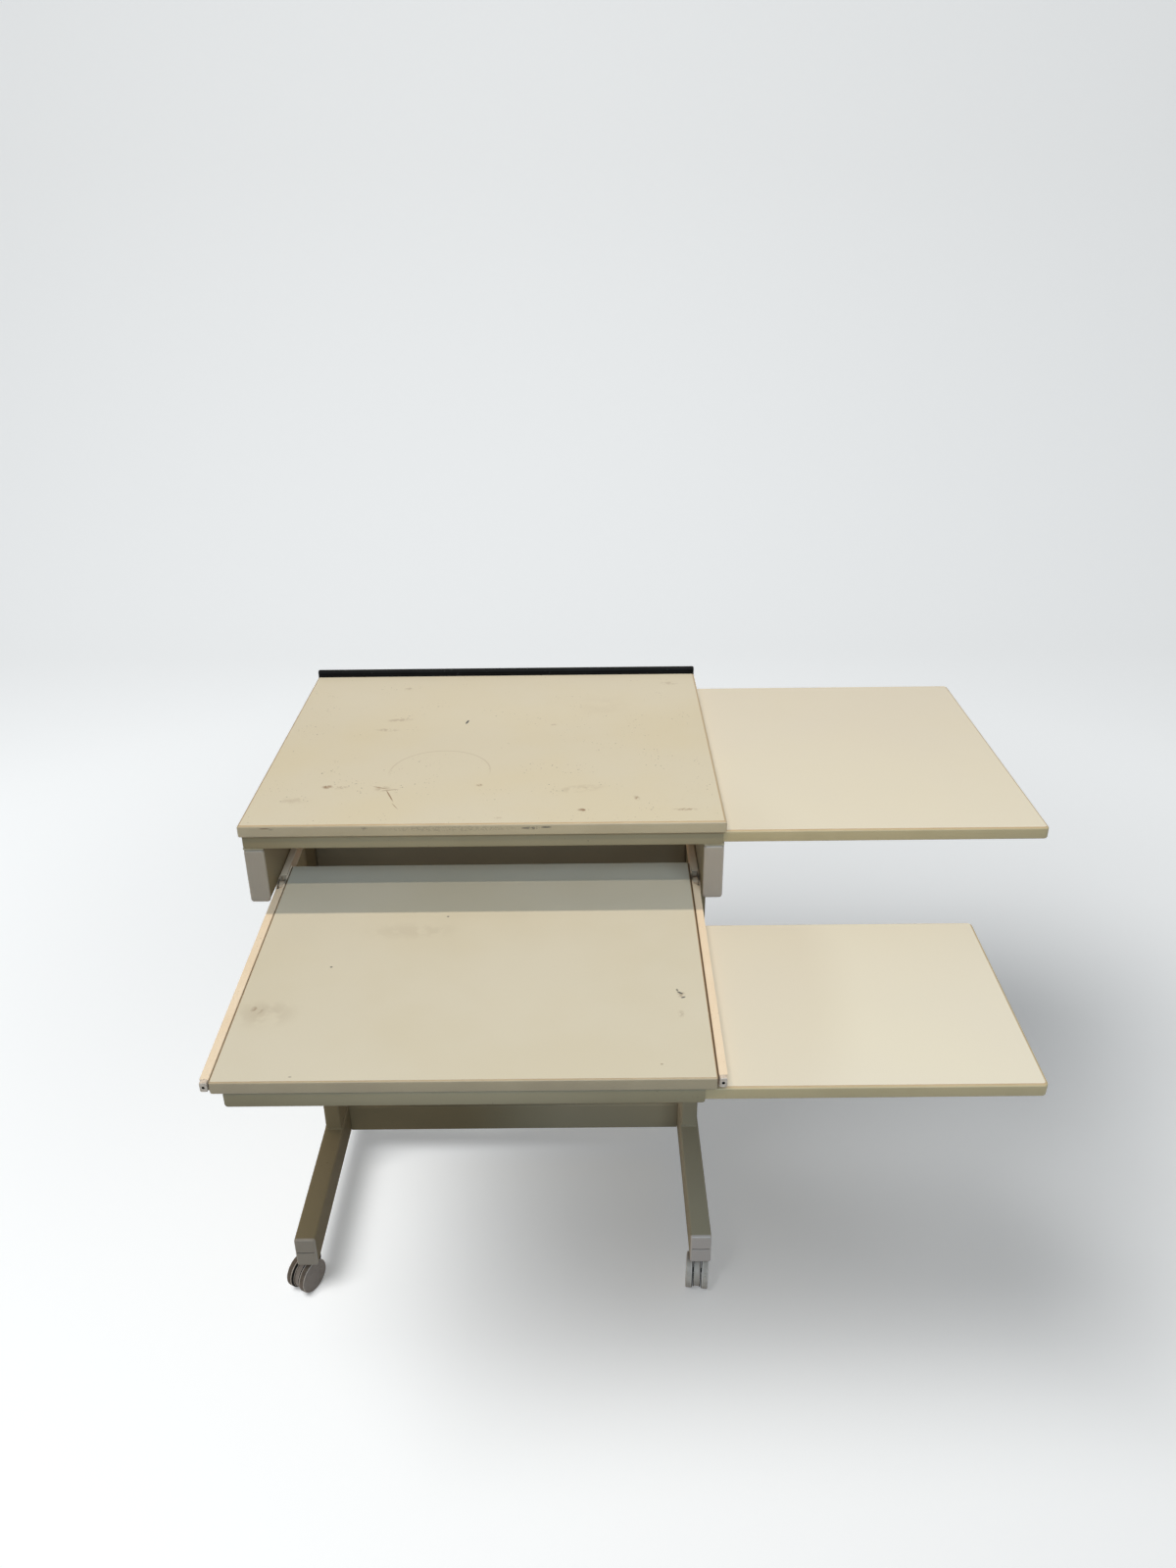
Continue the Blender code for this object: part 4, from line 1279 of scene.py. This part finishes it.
@dataclass(frozen=True)
class Boards(Group):
    """The top, the tray, both leaves and the modesty panel, each with a banded edge."""

    top_corner: float = 2.5 * MM
    tray_corner: float = 3.0 * MM
    leaf_corner: float = 6.0 * MM
    panel_corner: float = 4.0 * MM
    rim: Rim = Rim()
    tray_rim: Rim = Rim(0.8 * MM, 0.9 * MM, 1.2 * MM)

    def build(self) -> None:
        """Make the boards and dress them."""
        slope = sloped_place()
        top, tray = ("top_laminate", "edge_banding"), ("tray_laminate", "tray_edge_banding")
        leaf = ("leaf_laminate", "leaf_edge_banding")
        for node, body, place, corner, rim, (face, band), slot in (
            ("top_board", "frame", UPRIGHT, self.top_corner, self.rim, top, Slot.LAMINATE),
            ("tray_board", "tray", slope, self.tray_corner, self.tray_rim, tray, Slot.LAMINATE),
            ("upper_leaf", "upper_leaf", UPRIGHT, self.leaf_corner, self.rim, leaf, Slot.LEAF),
            ("lower_leaf", "lower_leaf", slope, self.leaf_corner, self.rim, leaf, Slot.LEAF),
        ):
            skin = slab(place.box(node), corner, rim).placed(place)
            self.dress(node, skin, (face, "laminate_core", band, "board_backing"), slot, body)
        box = ON_ITS_BACK.box("modesty_panel")
        skin = slab(box, self.panel_corner, self.rim).placed(ON_ITS_BACK)
        self.dress("modesty_panel", skin, ("panel_laminate",) * 4, Slot.PANEL)


@dataclass(frozen=True)
class RearStrip(Group):
    """The soft strip behind the top: a bead over a lip and a skirt, with a groove between."""

    lip: float = 2.6 * MM
    groove: float = 2.0 * MM
    ease: float = 0.8 * MM
    bead_turn: float = 222.0
    end_round: float = 2.4 * MM
    end_share: float = 0.55

    def build(self) -> None:
        """Carry the strip's section along the top's rear edge, drawn in at both ends.

        The section runs from the back over the bead's arc and under it, into the groove, over the
        lip and down the front of the skirt.
        """
        box = UPRIGHT.box("rear_edge_strip")
        front, lowest, highest, bead = box.low[Y], box.low[Z], box.high[Z], box.size[Y] / 2
        seam = UPRIGHT.box("top_board").high[Z]
        turn = arc(0.0, self.bead_turn, steps=16)
        bead_y, bead_z = front + bead * (1 + np.cos(turn)), highest - bead * (1 - np.sin(turn))
        lip = seam + self.lip
        lower_y = front + np.array([self.groove, self.groove, self.ease, 0.0, 0.0, bead, 2 * bead])
        lower_z = np.array([
            bead_z[-1] - self.ease / 2, lip + self.ease / 4, lip, lip - self.ease,
            lowest, lowest, lowest + bead,
        ])
        upper = np.stack([bead_y, bead_z], axis=-1)
        section = np.concatenate([upper, np.stack([lower_y, lower_z], axis=-1)])
        inset, narrow = quarter(1.0, steps=5)
        inset, share = self.end_round * inset, 1 - (1 - self.end_share) * narrow
        places = np.concatenate([box.low[X] + inset, box.high[X] - inset[::-1]])
        scale = np.concatenate([share, share[::-1]])[:, None, None]
        middle = np.array([front + bead, (seam + highest) / 2])
        skin = loft(along_axis(middle + (section - middle) * scale, places, X))
        self.dress("rear_edge_strip", skin, ("soft_black_strip",), Slot.STRIP)


@dataclass(frozen=True)
class GuideChannels(Group):
    """The sheet channels that the leaves slide in, under the top and under the tray."""

    sheet: float = 1.2 * MM
    bend: float = 2.0 * MM
    corner: float = 3.0 * MM

    def build(self) -> None:
        """Carry each channel's folded section along it.

        At both ends the lower edge rises by r (1 - sin t) over a length of r (1 - cos t), as a
        quarter circle.
        """
        slope = sloped_place()
        along, rise = quarter(self.corner, steps=5)
        lifts = np.concatenate([rise, rise[::-1]])
        for node, body, place, axis, facing in (
            ("upper_front_channel", "frame", UPRIGHT, X, 1),
            ("upper_rear_channel", "frame", UPRIGHT, X, -1),
            ("upper_left_rail", "frame", UPRIGHT, Y, 1),
            ("tray_front_channel", "tray", slope, X, 1),
            ("tray_rear_channel", "tray", slope, X, -1),
        ):
            box, across = place.box(node), Y if axis == X else X
            back, flange = box.end(across, -facing), (box.size[across],) * 2
            places = np.concatenate([box.low[axis] + along, box.high[axis] - along[::-1]])
            heights = [(box.low[Z] + lift, box.high[Z]) for lift in lifts]
            sections = np.stack([
                folded_section(back, flange, pair, self.sheet, self.bend, facing)
                for pair in heights
            ])
            skin = loft(along_axis(sections, places, axis)).placed(place)
            self.dress(node, skin, ("painted_steel",), Slot.STEEL, body)


@dataclass(frozen=True)
class Legs(Group):
    """Arms, columns, feet and stretcher, with their caps, weld seams and screws."""

    corner: float = 3.0 * MM
    wall: float = 1.6 * MM
    bearer_corner: float = 1.0 * MM
    bearer_rim: Rim = Rim(0.2 * MM, 0.2 * MM, 0.3 * MM, 1.1 * MM)
    arm_corner: float = 4.5 * MM
    arm_lip: float = 2.4 * MM
    arm_edge: float = 3.0 * MM
    foot_edge: float = 2.6 * MM
    weld: float = 1.9 * MM
    ripple: float = 0.22 * MM
    ripple_turn: float = 2.2
    screw_rise: float = 12.0 * MM
    panel_screws: Triple = (0.15, 0.5, 0.85)

    def build(self) -> None:
        """Make both legs and the stretcher between them."""
        bars = [("stretcher", X)]
        for side in Side:
            bars += [(side.of("arm"), Y), (side.of("foot"), Y), (side.of("column"), Z)]
        for node, axis in bars:
            skin = hollow_bar(UPRIGHT.box(node), axis, self.corner, self.wall)
            self.dress(node, skin, ("painted_steel",), Slot.STEEL)
        for side in Side:
            bearer = side.of("arm_bearer")
            skin = slab(UPRIGHT.box(bearer), self.bearer_corner, self.bearer_rim)
            # The bearers are shown in the lighter steel: painted light.
            self.dress(bearer, skin, ("rubbed_steel",) * 4, Slot.STEEL)
            for end in End:
                for tube in Tube:
                    self.cap(tube, end, side)
            self.welds(side)
            self.screws(side)

    def cap(self, tube: Tube, end: End, side: Side) -> None:
        """A cap over a tube's end, without the plug that the tube hides.

        A foot's cap has a groove. An arm's cap hangs a lip below its tube.

        Args:
            tube: which tube it closes.
            end: the end that it closes.
            side: the side that the tube is on.
        """
        node = side.of(end.of(f"{tube.value}_cap"))
        box, bar = UPRIGHT.box(node), UPRIGHT.box(side.of(tube.value))
        (box.low if end is End.REAR else box.high)[Y] = bar.end(Y, end.value)
        if tube is Tube.ARM:
            box.low[Z] -= self.arm_lip
            skin = moulded_cap(box, end.value, self.arm_corner, self.arm_edge, None)
        else:
            skin = moulded_cap(box, end.value, self.corner, self.foot_edge, CapGroove())
        # A cap's finishes: the face, the rim with a painted highlight, and the groove with painted
        # shade.
        coats = ("moulded_grey_plastic", "rubbed_grey_plastic", "moulded_groove")
        self.dress(node, skin, coats, Slot.CAP)

    def welds(self, side: Side) -> None:
        """Weld seams round both ends of a column: a rippled ring carried round its outline.

        The ring's radius is w + a sin(k s / w) at a length s along the outline.

        Args:
            side: the column's side.
        """
        box = UPRIGHT.box(side.of("column"))
        path = rounded_rectangle(box.low[:Z], box.high[:Z], self.corner, steps=12)
        path = split_sides(path, parts=24)
        steps = np.linalg.norm(np.roll(path, -1, 0) - path, axis=1)
        radius = self.weld + self.ripple * np.sin(np.cumsum(steps) / self.weld * self.ripple_turn)
        angle = full_turn(steps=8)
        out, rise = radius[:, None] * np.cos(angle), radius[:, None] * np.sin(angle)
        rings = np.empty((*out.shape, 3))
        rings[:, :, :Z] = path[:, None] + out[:, :, None] * normals(path)[:, None]
        rings[:, :, Z] = rise
        levels = box.low[Z], box.high[Z]
        skin = Skin.joined(loft(rings + level * UP, lids=None) for level in levels)
        self.add(side.of("column_welds"), skin, ("painted_steel",), Slot.STEEL)

    def screws(self, side: Side) -> None:
        """Screws through a leg's outer side: two into the stretcher, three into the panel.

        Args:
            side: the leg's side.
        """
        foot, column = UPRIGHT.box(side.of("foot")), UPRIGHT.box(side.of("column"))
        bar, panel = UPRIGHT.box("stretcher"), UPRIGHT.box("modesty_panel")
        spots = [
            (foot.end(X, side.value), bar.middle[Y], foot.middle[Z] + rise)
            for rise in (-self.screw_rise, self.screw_rise)
        ]
        spots += [
            (column.end(X, side.value), panel.middle[Y], panel.low[Z] + panel.size[Z] * share)
            for share in self.panel_screws
        ]
        skin = ScrewHead().at(spots, side.value * ACROSS)
        self.add(side.of("leg_screws"), skin, ("zinc_plate",), Slot.ZINC)


@dataclass(frozen=True)
class Runners(Group):
    """The tray's roller runners: fixed rails on the arms, moving ones on the tray, and rollers."""

    slope: Place = field(default_factory=sloped_place)
    sheet: float = 1.0 * MM
    bend: float = 2.0 * MM
    bend_share: float = 0.9
    lip: float = 1.5 * MM
    nose: float = 32.0 * MM
    nose_share: float = 0.4
    notch: float = 34.0 * MM
    notch_taper: float = 6.0 * MM
    notch_flange: float = 2.0 * MM
    web_end: float = 22.55 * MM
    pin: float = 2.0 * MM
    play: float = 0.2 * MM
    rivet: float = 3.1 * MM
    rivet_steps: Triple = (0.05 * MM, 0.30 * MM, 0.55 * MM)
    ring: tuple[float, ...] = (0.62, 0.66, 0.80, 0.84)
    ring_depth: float = 0.3 * MM
    edge: float = 0.6 * MM
    end_corners: Pair = (1.6 * MM, 1.0 * MM)
    hole: float = 1.7 * MM
    screw: float = 3.2 * MM
    screw_places: Triple = (0.18, 0.55, 0.90)

    def build(self) -> None:
        """Make the runners of both sides."""
        for side in Side:
            self.cabinet_rail(side)
            self.drawer_rail(side)
            for stem in ("cabinet_roller", "drawer_roller"):
                self.roller(side.of(stem))
            self.end_piece(side.of("runner_end"))

    def rail(
        self, stations: Sequence[Sequence[float]], box: Box, back: float, facing: int, roller: str
    ) -> Skin:
        """Carry a folded section along a rail, with flanges and height that change along it.

        Args:
            stations: place along the rail, depths of lower and upper flange, share of the height.
            box: the rail's box.
            back: place of the web's outer face across the rail.
            facing: 1 if the flanges point to higher places, -1 if to lower ones.
            roller: the CAD node of the roller that turns on the rail's pin.

        Returns:
            The rail with its pin.
        """
        heights, middle = np.array([box.low[Z], box.high[Z]]), box.middle[Z]
        sections = []
        for _, lower, upper, share in stations:
            kept = middle + (heights - middle) * share
            bend = min(self.bend, self.bend_share * min(lower, upper))
            sections.append(folded_section(back, (lower, upper), kept, self.sheet, bend, facing))
        rail = loft(along_axis(np.stack(sections), [station[0] for station in stations], Y))
        axle = self.axle(self.slope.box(roller), back, facing)
        return Skin.joined([rail, axle]).placed(self.slope)

    def axle(self, roller: Box, back: float, facing: int) -> Skin:
        """The pin that a roller turns on, with a rivet head over the roller's end.

        Args:
            roller: the roller's box.
            back: place of the web's outer face across the rail.
            facing: the way that the pin points from the web.

        Returns:
            The closed surface.
        """
        under, side, top = abs(roller.end(X, facing) - back) + np.array(self.rivet_steps)
        profile = np.array([
            (self.pin, self.sheet / 2), (self.pin, under), (self.rivet, under), (self.rivet, side),
            (self.pin, top),
        ])
        return lathe(profile * (1, facing), X, (back, *roller.middle[Y:]), steps=24)

    def cabinet_rail(self, side: Side) -> None:
        """A rail on an arm: its web tapers to a nose at the front, where a roller sits.

        In the nose the height is a share n + (1 - n) sin t, with t from 0 to 90 degrees.

        Args:
            side: the arm's side.
        """
        node, outward = side.of("cabinet_runner"), side.value
        box = self.slope.box(node)
        front, back, flange = box.low[Y], box.end(X, outward), box.size[X]
        curve = np.linspace(0.0, 1.0, num=7)
        shares = self.nose_share + (1 - self.nose_share) * np.sin(curve * math.pi / 2)
        stations = [
            (front + self.nose * along, self.lip, self.lip, share)
            for along, share in zip(curve, shares)
        ]
        stations += [
            (place, flange, flange, 1.0) for place in (front + self.nose + self.sheet, box.high[Y])
        ]
        rail = self.rail(stations, box, back, -outward, side.of("cabinet_roller"))
        self.dress(node, rail, ("cream_epoxy",), Slot.RUNNER)
        web = back - outward * self.sheet
        spots = [(web, front + box.size[Y] * share, box.middle[Z]) for share in self.screw_places]
        screws = ScrewHead(self.screw).at(spots, -outward * ACROSS).placed(self.slope)
        self.add(side.of("runner_screws"), screws, ("zinc_plate",), Slot.ZINC)

    def drawer_rail(self, side: Side) -> None:
        """A rail on the tray: its upper flange is cut back near the roller at its rear end.

        Args:
            side: the tray's side.
        """
        node, outward = side.of("drawer_runner"), side.value
        box = self.slope.box(node)
        flange, rear = box.size[X], box.high[Y]
        last = rear - self.web_end
        notch = last - self.notch
        stations = [
            (box.low[Y], flange, flange, 1.0), (notch, flange, flange, 1.0),
            (notch + self.notch_taper, flange, self.notch_flange, 1.0),
            (last, flange, self.notch_flange, 1.0),
            (last + self.sheet / 2, self.lip, self.lip, 1.0), (rear, self.lip, self.lip, 1.0),
        ]
        rail = self.rail(stations, box, box.end(X, -outward), outward, side.of("drawer_roller"))
        self.dress(node, rail, ("cream_epoxy",), Slot.RUNNER, "tray")

    def roller(self, node: str) -> None:
        """A roller: a bored drum with eased edges and a shallow ring on each face.

        Args:
            node: the roller's CAD node, which is also its body's name.
        """
        box = self.slope.box(node)
        half, radius = box.size[X] / 2, box.size[Z] / 2
        sunk = half - self.ring_depth
        places = (half, sunk, sunk, half)
        ring = [(share * radius, place) for share, place in zip(self.ring, places)]
        aside, inward = quarter(self.edge, steps=3)
        edge = np.stack([radius - inward, half - aside], axis=-1)
        right = np.concatenate([[(self.pin + self.play, half)], ring, edge])
        profile = np.concatenate([right, right[::-1] * (1, -1)])
        skin = lathe(profile, X, box.middle, steps=40, lids=None).placed(self.slope)
        self.dress(node, skin, ("roller_plastic",), Slot.ROLLER, node)

    def end_piece(self, node: str) -> None:
        """The moulded block at a drawer rail's front end, with a round hole through it.

        Each point of the hole lies on the line from its middle to a point of the outline. The
        hole's wall, the last band, has the second finish: painted shade.

        Args:
            node: the block's CAD node.
        """
        box, plane = self.slope.box(node), [X, Z]
        low, high, middle = box.low[plane], box.high[plane], box.middle[plane]
        front, rear = box.low[Y], box.high[Y]
        outer, eased = (
            split_sides(rounded_rectangle(low + inset, high - inset, corner, steps=3), parts=4)
            for inset, corner in zip((0.0, self.edge), self.end_corners)
        )
        hole = middle + self.hole * unit(outer - middle)
        rings = along_axis(
            np.stack([hole, outer, outer, eased, hole]),
            [rear, rear, front + self.edge, front, front], Y,
        )
        skin = loft(rings, (0, 0, 0, 0, 1), lids=None).placed(self.slope)
        self.dress(node, skin, ("pale_plastic", "grime"), Slot.CAP, "tray")


@dataclass(frozen=True)
class Casters(Group):
    """The twin-wheel casters: stem, body, axle and two wheels each."""

    round_edge: float = 2.0 * MM
    lip: float = 0.8 * MM
    dish: float = 0.7 * MM
    tread_ease: float = 1.1 * MM
    rim: float = 4.0 * MM
    recess: float = 1.5 * MM
    hub: float = 8.0 * MM
    bore: float = 3.2 * MM
    blind: float = 7.8 * MM
    edge_line: float = 1.1 * MM
    disc_middle: float = 0.06
    wheel_steps: int = 72
    body_radius: float = 23.0 * MM
    body_turn: Pair = (-8.0, -252.0)
    body_edge: float = 1.4 * MM
    body_groove: float = 1.2 * MM
    groove_places: Triple = (2.0 * MM, 2.6 * MM, 5.0 * MM)
    boss: float = 9.0 * MM
    boss_rise: float = 8.0 * MM
    flange: float = 3.0 * MM
    pivot: float = 4.0 * MM
    stem: float = 5.0 * MM
    stem_gap: float = 0.3 * MM
    stem_ease: float = 0.5 * MM

    def build(self) -> None:
        """Make all four casters. The front right one is dustier than the rest.

        The materials are those of the discs, the treads, the edges with a painted highlight, and the
        gaps with painted shade.
        """
        dusty = ("dusty_caster_plastic", "dusty_caster_plastic", "dusty_caster_edge", "grime")
        plain = ("caster_plastic", "worn_tread", "worn_caster_edge", "grime")
        for end in End:
            for side in Side:
                caster = side.of(end.of("caster"))
                coats = dusty if (end, side) == (End.FRONT, Side.RIGHT) else plain
                place = caster_place(caster)
                for wheel in Side:
                    self.wheel(wheel.of(f"{caster}_wheel"), wheel.value, place, coats)
                self.body(caster, place, coats)
                self.spindle(f"{caster}_stem", UPRIGHT.box(side.of("foot")).low[Z], place)
                self.coat_node(f"{caster}_axle", "zinc_plate")

    def wheel(self, node: str, outward: int, place: Place, coats: Sequence[str]) -> None:
        """A wheel: bored and recessed inside, with an eased tread and a domed disc outside.

        The disc lies back by d s^2 at a share s of its radius.

        Args:
            node: the wheel's CAD node, which is also its body's name.
            outward: -1 for the left wheel, 1 for the right one.
            place: the caster's axes.
            coats: its materials' names.
        """
        box = place.box(node)
        radius, outer = box.middle[Z], box.size[X] - self.dish / 2
        shoulder = radius - self.round_edge
        inside = [
            (self.bore, self.blind), (self.bore, 0.0), (self.hub, 0.0),
            (self.hub + self.recess, self.recess), (radius - self.rim - self.recess, self.recess),
            (radius - self.rim, 0.0), (radius - self.tread_ease, 0.0), (radius, self.tread_ease),
            (radius, self.tread_ease + self.edge_line),
        ]
        inward, aside = quarter(self.round_edge, steps=8)
        edge = np.stack([radius - inward, outer - aside], axis=-1)
        share = np.linspace(1.0, self.disc_middle, num=10)
        face = np.stack([(shoulder - self.lip) * share, outer - self.dish * share**2], axis=-1)
        profile = np.concatenate([inside, edge, face]) * (1, outward)
        # Inside faces towards the body get painted shade, and bands along the edges a painted
        # highlight.
        disc, tread, highlight, gap = CasterPart
        finish = [gap] * (len(inside) - 2) + [highlight] + [tread] * 3 + [highlight] * 3
        finish += [disc] * (len(profile) - 1 - len(finish))
        centre = (box.end(X, -outward), *box.middle[Y:])
        skin = lathe(profile, X, centre, self.wheel_steps, finish=finish).placed(place)
        self.dress(node, skin, coats, Slot.CASTER, node)

    def body(self, caster: str, place: Place, coats: Sequence[str]) -> None:
        """A caster's body: its side view carried across, drawn in along the edges of both faces.

        Args:
            caster: the caster's name.
            place: the caster's axes.
            coats: the wheels' materials' names.
        """
        node = f"{caster}_body"
        box = place.box(node)
        axle = place.box(f"{caster}_wheel_left").middle[Y:]
        turn = arc(*self.body_turn, steps=48)
        hood = axle + self.body_radius * np.stack([np.cos(turn), np.sin(turn)], axis=-1)
        top = box.high[Z]
        corners = [
            (-self.boss, top - self.flange), (-self.boss, top), (self.boss, top),
            (self.boss, axle[1] + self.boss_rise),
        ]
        outline = split_sides(np.concatenate([hood, corners]), parts=4)
        aside, drawn = quarter(self.body_edge, steps=4)
        aside = np.append(aside, self.groove_places)
        drawn = np.append(drawn, [0.0, self.body_groove, self.body_groove])
        places = np.concatenate([box.low[X] + aside, box.high[X] - aside[::-1]])
        inset = np.concatenate([drawn, drawn[::-1]])[:, None, None]
        disc, tread, highlight, gap = CasterPart
        # Bands next to the wheels get painted shade, then a painted highlight.
        half = [gap] * 4 + [highlight, tread, disc]
        rings = along_axis(outline + inset * normals(outline), places, X)
        skin = loft(rings, half + [disc] + half[::-1], lids=(gap, gap)).placed(place)
        self.dress(node, skin, coats, Slot.CASTER, caster)

    def spindle(self, node: str, foot: float, place: Place) -> None:
        """A caster's stem: a pivot below, a flange under the foot and a plain shank in it.

        Args:
            node: the stem's CAD node.
            foot: height of the foot's underside.
            place: the caster's axes.
        """
        box, ease = place.box(node), self.stem_ease
        seat, top = foot - self.stem_gap, box.high[Z]
        under = seat - self.flange
        profile = np.array([
            (self.pivot, box.low[Z]), (self.pivot, under), (self.boss - ease, under),
            (self.boss, under + ease), (self.boss, seat - ease), (self.boss - ease, seat),
            (self.stem, seat), (self.stem, top - ease), (self.stem - ease, top),
        ])
        skin = lathe(profile, Z, (0.0, 0.0, 0.0), steps=40).placed(place)
        self.dress(node, skin, ("zinc_plate",), Slot.ZINC)


@dataclass(frozen=True)
class Lamp:
    """A rectangular lamp that looks at a target, with its long side level."""

    name: str
    place: Triple
    size: Pair
    power: float
    colour: Colour
    target: Triple = (0.0, 0.0, 0.66)
    floor_only: bool = False

    def hang(self, origin: Array, floor: bpy.types.Object) -> None:
        """Hang the lamp so that it lights the floor alone, or everything but the floor.

        Its axes are the way back from the target, the level way across, and the two's cross.

        Args:
            origin: the point that the lamp's place and target are counted from.
            floor: the floor's object.
        """
        light = bpy.data.lights.new(self.name, "AREA")
        light.shape = "RECTANGLE"
        light.size, light.size_y = self.size
        light.energy, light.color = self.power, self.colour
        lamp = add_object(self.name, light)
        back = unit(np.subtract(self.place, self.target))
        across = unit(np.cross(UP, back))
        turn = Matrix(np.column_stack([across, np.cross(back, across), back]).tolist()).to_4x4()
        lamp.matrix_world = Matrix.Translation(origin + self.place) @ turn
        lamp.visible_camera = False
        lit = bpy.data.collections.new(f"{self.name}_lights")
        lit.objects.link(floor)
        state = "INCLUDE" if self.floor_only else "EXCLUDE"
        lit.collection_objects[0].light_linking.link_state = state
        lamp.light_linking.receiver_collection = lit


LAMPS = (
    Lamp("rear_lamp", (0.0, 0.725, 3.98), (2.8, 0.09), 63.0, (1.0, 0.90, 0.75)),
    Lamp("front_lamp", (0.0, -1.48, 3.69), (2.8, 0.09), 30.0, (1.0, 0.90, 0.72)),
    Lamp("sky_window", (0.6, -2.6, 2.55), (3.0, 1.8), 78.0, (0.60, 0.80, 1.0)),
    Lamp("back_fill", (0.1, 2.4, 0.33), (2.6, 0.44), 14.0, (1.0, 0.98, 0.95), (0.1, 0.0, 0.33)),
    Lamp("left_fill", (-2.3, 0.1, 0.33), (2.6, 0.44), 14.0, (1.0, 0.98, 0.95), (0.0, 0.1, 0.33)),
    Lamp("floor_lamp", (-1.35, -1.2, 3.7), (1.8, 1.8), 125.0, (1.0, 0.99, 0.98), floor_only=True),
)


@dataclass(frozen=True)
class Studio:
    """A pale sweep of floor and wall, the lamps, an even light from all round, and the camera."""

    floor_colour: Colour = (0.885, 0.902, 0.908)
    bounce_colour: Colour = (0.30, 0.275, 0.24)
    floor_roughness: float = 0.9
    glow_colour: Colour = (0.965, 0.99, 1.0)
    glow_near: float = 0.27
    glow_far: float = 0.49
    glow_reach: Pair = (0.85, 2.4)
    half_width: float = 7.0
    front: float = -5.0
    turn_at: float = 2.6
    sweep: float = 1.6
    wall_top: float = 5.5
    lamps_aside: float = 0.1
    camera_from_top: Triple = (0.1347, -1.2897, 0.6887)
    camera_pitch: float = 26.233
    camera_yaw: float = -0.1818
    camera_roll: float = 0.6589
    focal_pixels: float = 1222.3
    picture_height: float = 1600.0
    sensor: float = 36.0
    sky: Colour = (0.80, 0.90, 1.0)
    sky_strength: float = 0.12
    backdrop: Colour = (0.60, 0.615, 0.63)

    def build(self) -> None:
        """Set the stage round the desk: five lamps for the desk, and one for the floor alone."""
        floor = self.floor()
        self.world()
        top = top_corner()
        for lamp in LAMPS:
            lamp.hang(top * (1, 1, 0) + self.lamps_aside * ACROSS, floor)
        self.camera(top)
        bpy.context.scene.view_settings.view_transform = "Standard"

    def floor(self) -> bpy.types.Object:
        """The sweep: a line on the floor, a quarter circle and a line up the wall, carried across.

        Returns:
            The floor's object.
        """
        wall = self.turn_at + self.sweep
        rise, short = quarter(self.sweep, steps=24)
        y = np.concatenate([[self.front], wall - short, [wall]])
        z = np.concatenate([[0.0], rise, [self.wall_top]])
        points = along_axis(np.stack([y, z], axis=-1), (-self.half_width, self.half_width), X)
        low = np.arange(len(y) - 1)
        quads = np.stack([low, low + len(y), low + len(y) + 1, low + 1], axis=-1)
        mesh = bpy.data.meshes.new("floor_sweep")
        mesh.from_pydata(points.reshape(-1, 3).tolist(), [], quads.tolist())
        mesh.materials.append(self.floor_material())
        mesh.shade_smooth()
        sweep = add_object("floor_sweep", mesh)
        return sweep

    def floor_material(self) -> bpy.types.Material:
        """A pale floor that shows the desk's shadow softly and lights the desk as paint would.

        Returns:
            The material.
        """
        graph = Graph(bpy.data.materials.new("pale_floor"))
        seen = graph.seen()
        away = graph.length(graph.place)
        glow = graph.between(away, *self.glow_reach, self.glow_near, self.glow_far)
        graph.feed(graph.tree.nodes["Principled BSDF"], {
            "Base Color": graph.mix(seen, self.bounce_colour, self.floor_colour),
            "Roughness": self.floor_roughness,
            "Emission Color": self.glow_colour,
            "Emission Strength": graph.combine("MULTIPLY", seen, glow),
        })
        return graph.owner

    def world(self) -> None:
        """An even, slightly cool light from all round, that shows as a plain pale grey."""
        graph = Graph(bpy.data.worlds.new("studio"))
        light = graph.tree.nodes["Background"]
        graph.feed(light, {"Color": self.sky, "Strength": self.sky_strength})
        backdrop = graph.add("Background", {"Color": self.backdrop})
        shaders = {0: graph.seen(), 1: light.outputs[0], 2: backdrop.outputs[0]}
        choice = graph.add("MixShader", shaders)
        graph.feed(graph.tree.nodes["World Output"], {"Surface": choice.outputs[0]})
        bpy.context.scene.world = graph.owner

    def camera(self, top: Array) -> None:
        """The camera at the photograph's place and angle.

        It is turned by the yaw about the upright, down by the pitch, and by the roll about its
        line of sight.

        Args:
            top: the middle of the top's front edge.
        """
        pitch, yaw, roll = np.radians([self.camera_pitch, self.camera_yaw, self.camera_roll])
        level = np.array([math.cos(yaw), -math.sin(yaw), 0.0])
        ahead = np.array([math.sin(yaw), math.cos(yaw), 0.0])
        forward = math.cos(pitch) * ahead - math.sin(pitch) * UP
        down = np.cross(forward, level)
        right = math.cos(roll) * level + math.sin(roll) * down
        below = math.cos(roll) * down - math.sin(roll) * level
        lens = bpy.data.cameras.new("camera")
        lens.sensor_width = self.sensor
        lens.lens = self.focal_pixels / self.picture_height * self.sensor
        camera = add_object("camera", lens)
        turn = Matrix(np.column_stack([right, -below, -forward]).tolist()).to_4x4()
        camera.matrix_world = Matrix.Translation(top + self.camera_from_top) @ turn
        bpy.context.scene.camera = camera


def main() -> None:
    """Build the desk's looks in order."""
    logging.basicConfig(level=logging.INFO, format="%(message)s")
    materials = {coat.name: coat.material() for coat in desk_coats()}
    for group in (Boards, RearStrip, GuideChannels, Legs, Runners, Casters):
        group(materials).build()
    Studio().build()


if __name__ == "__main__":
    main()
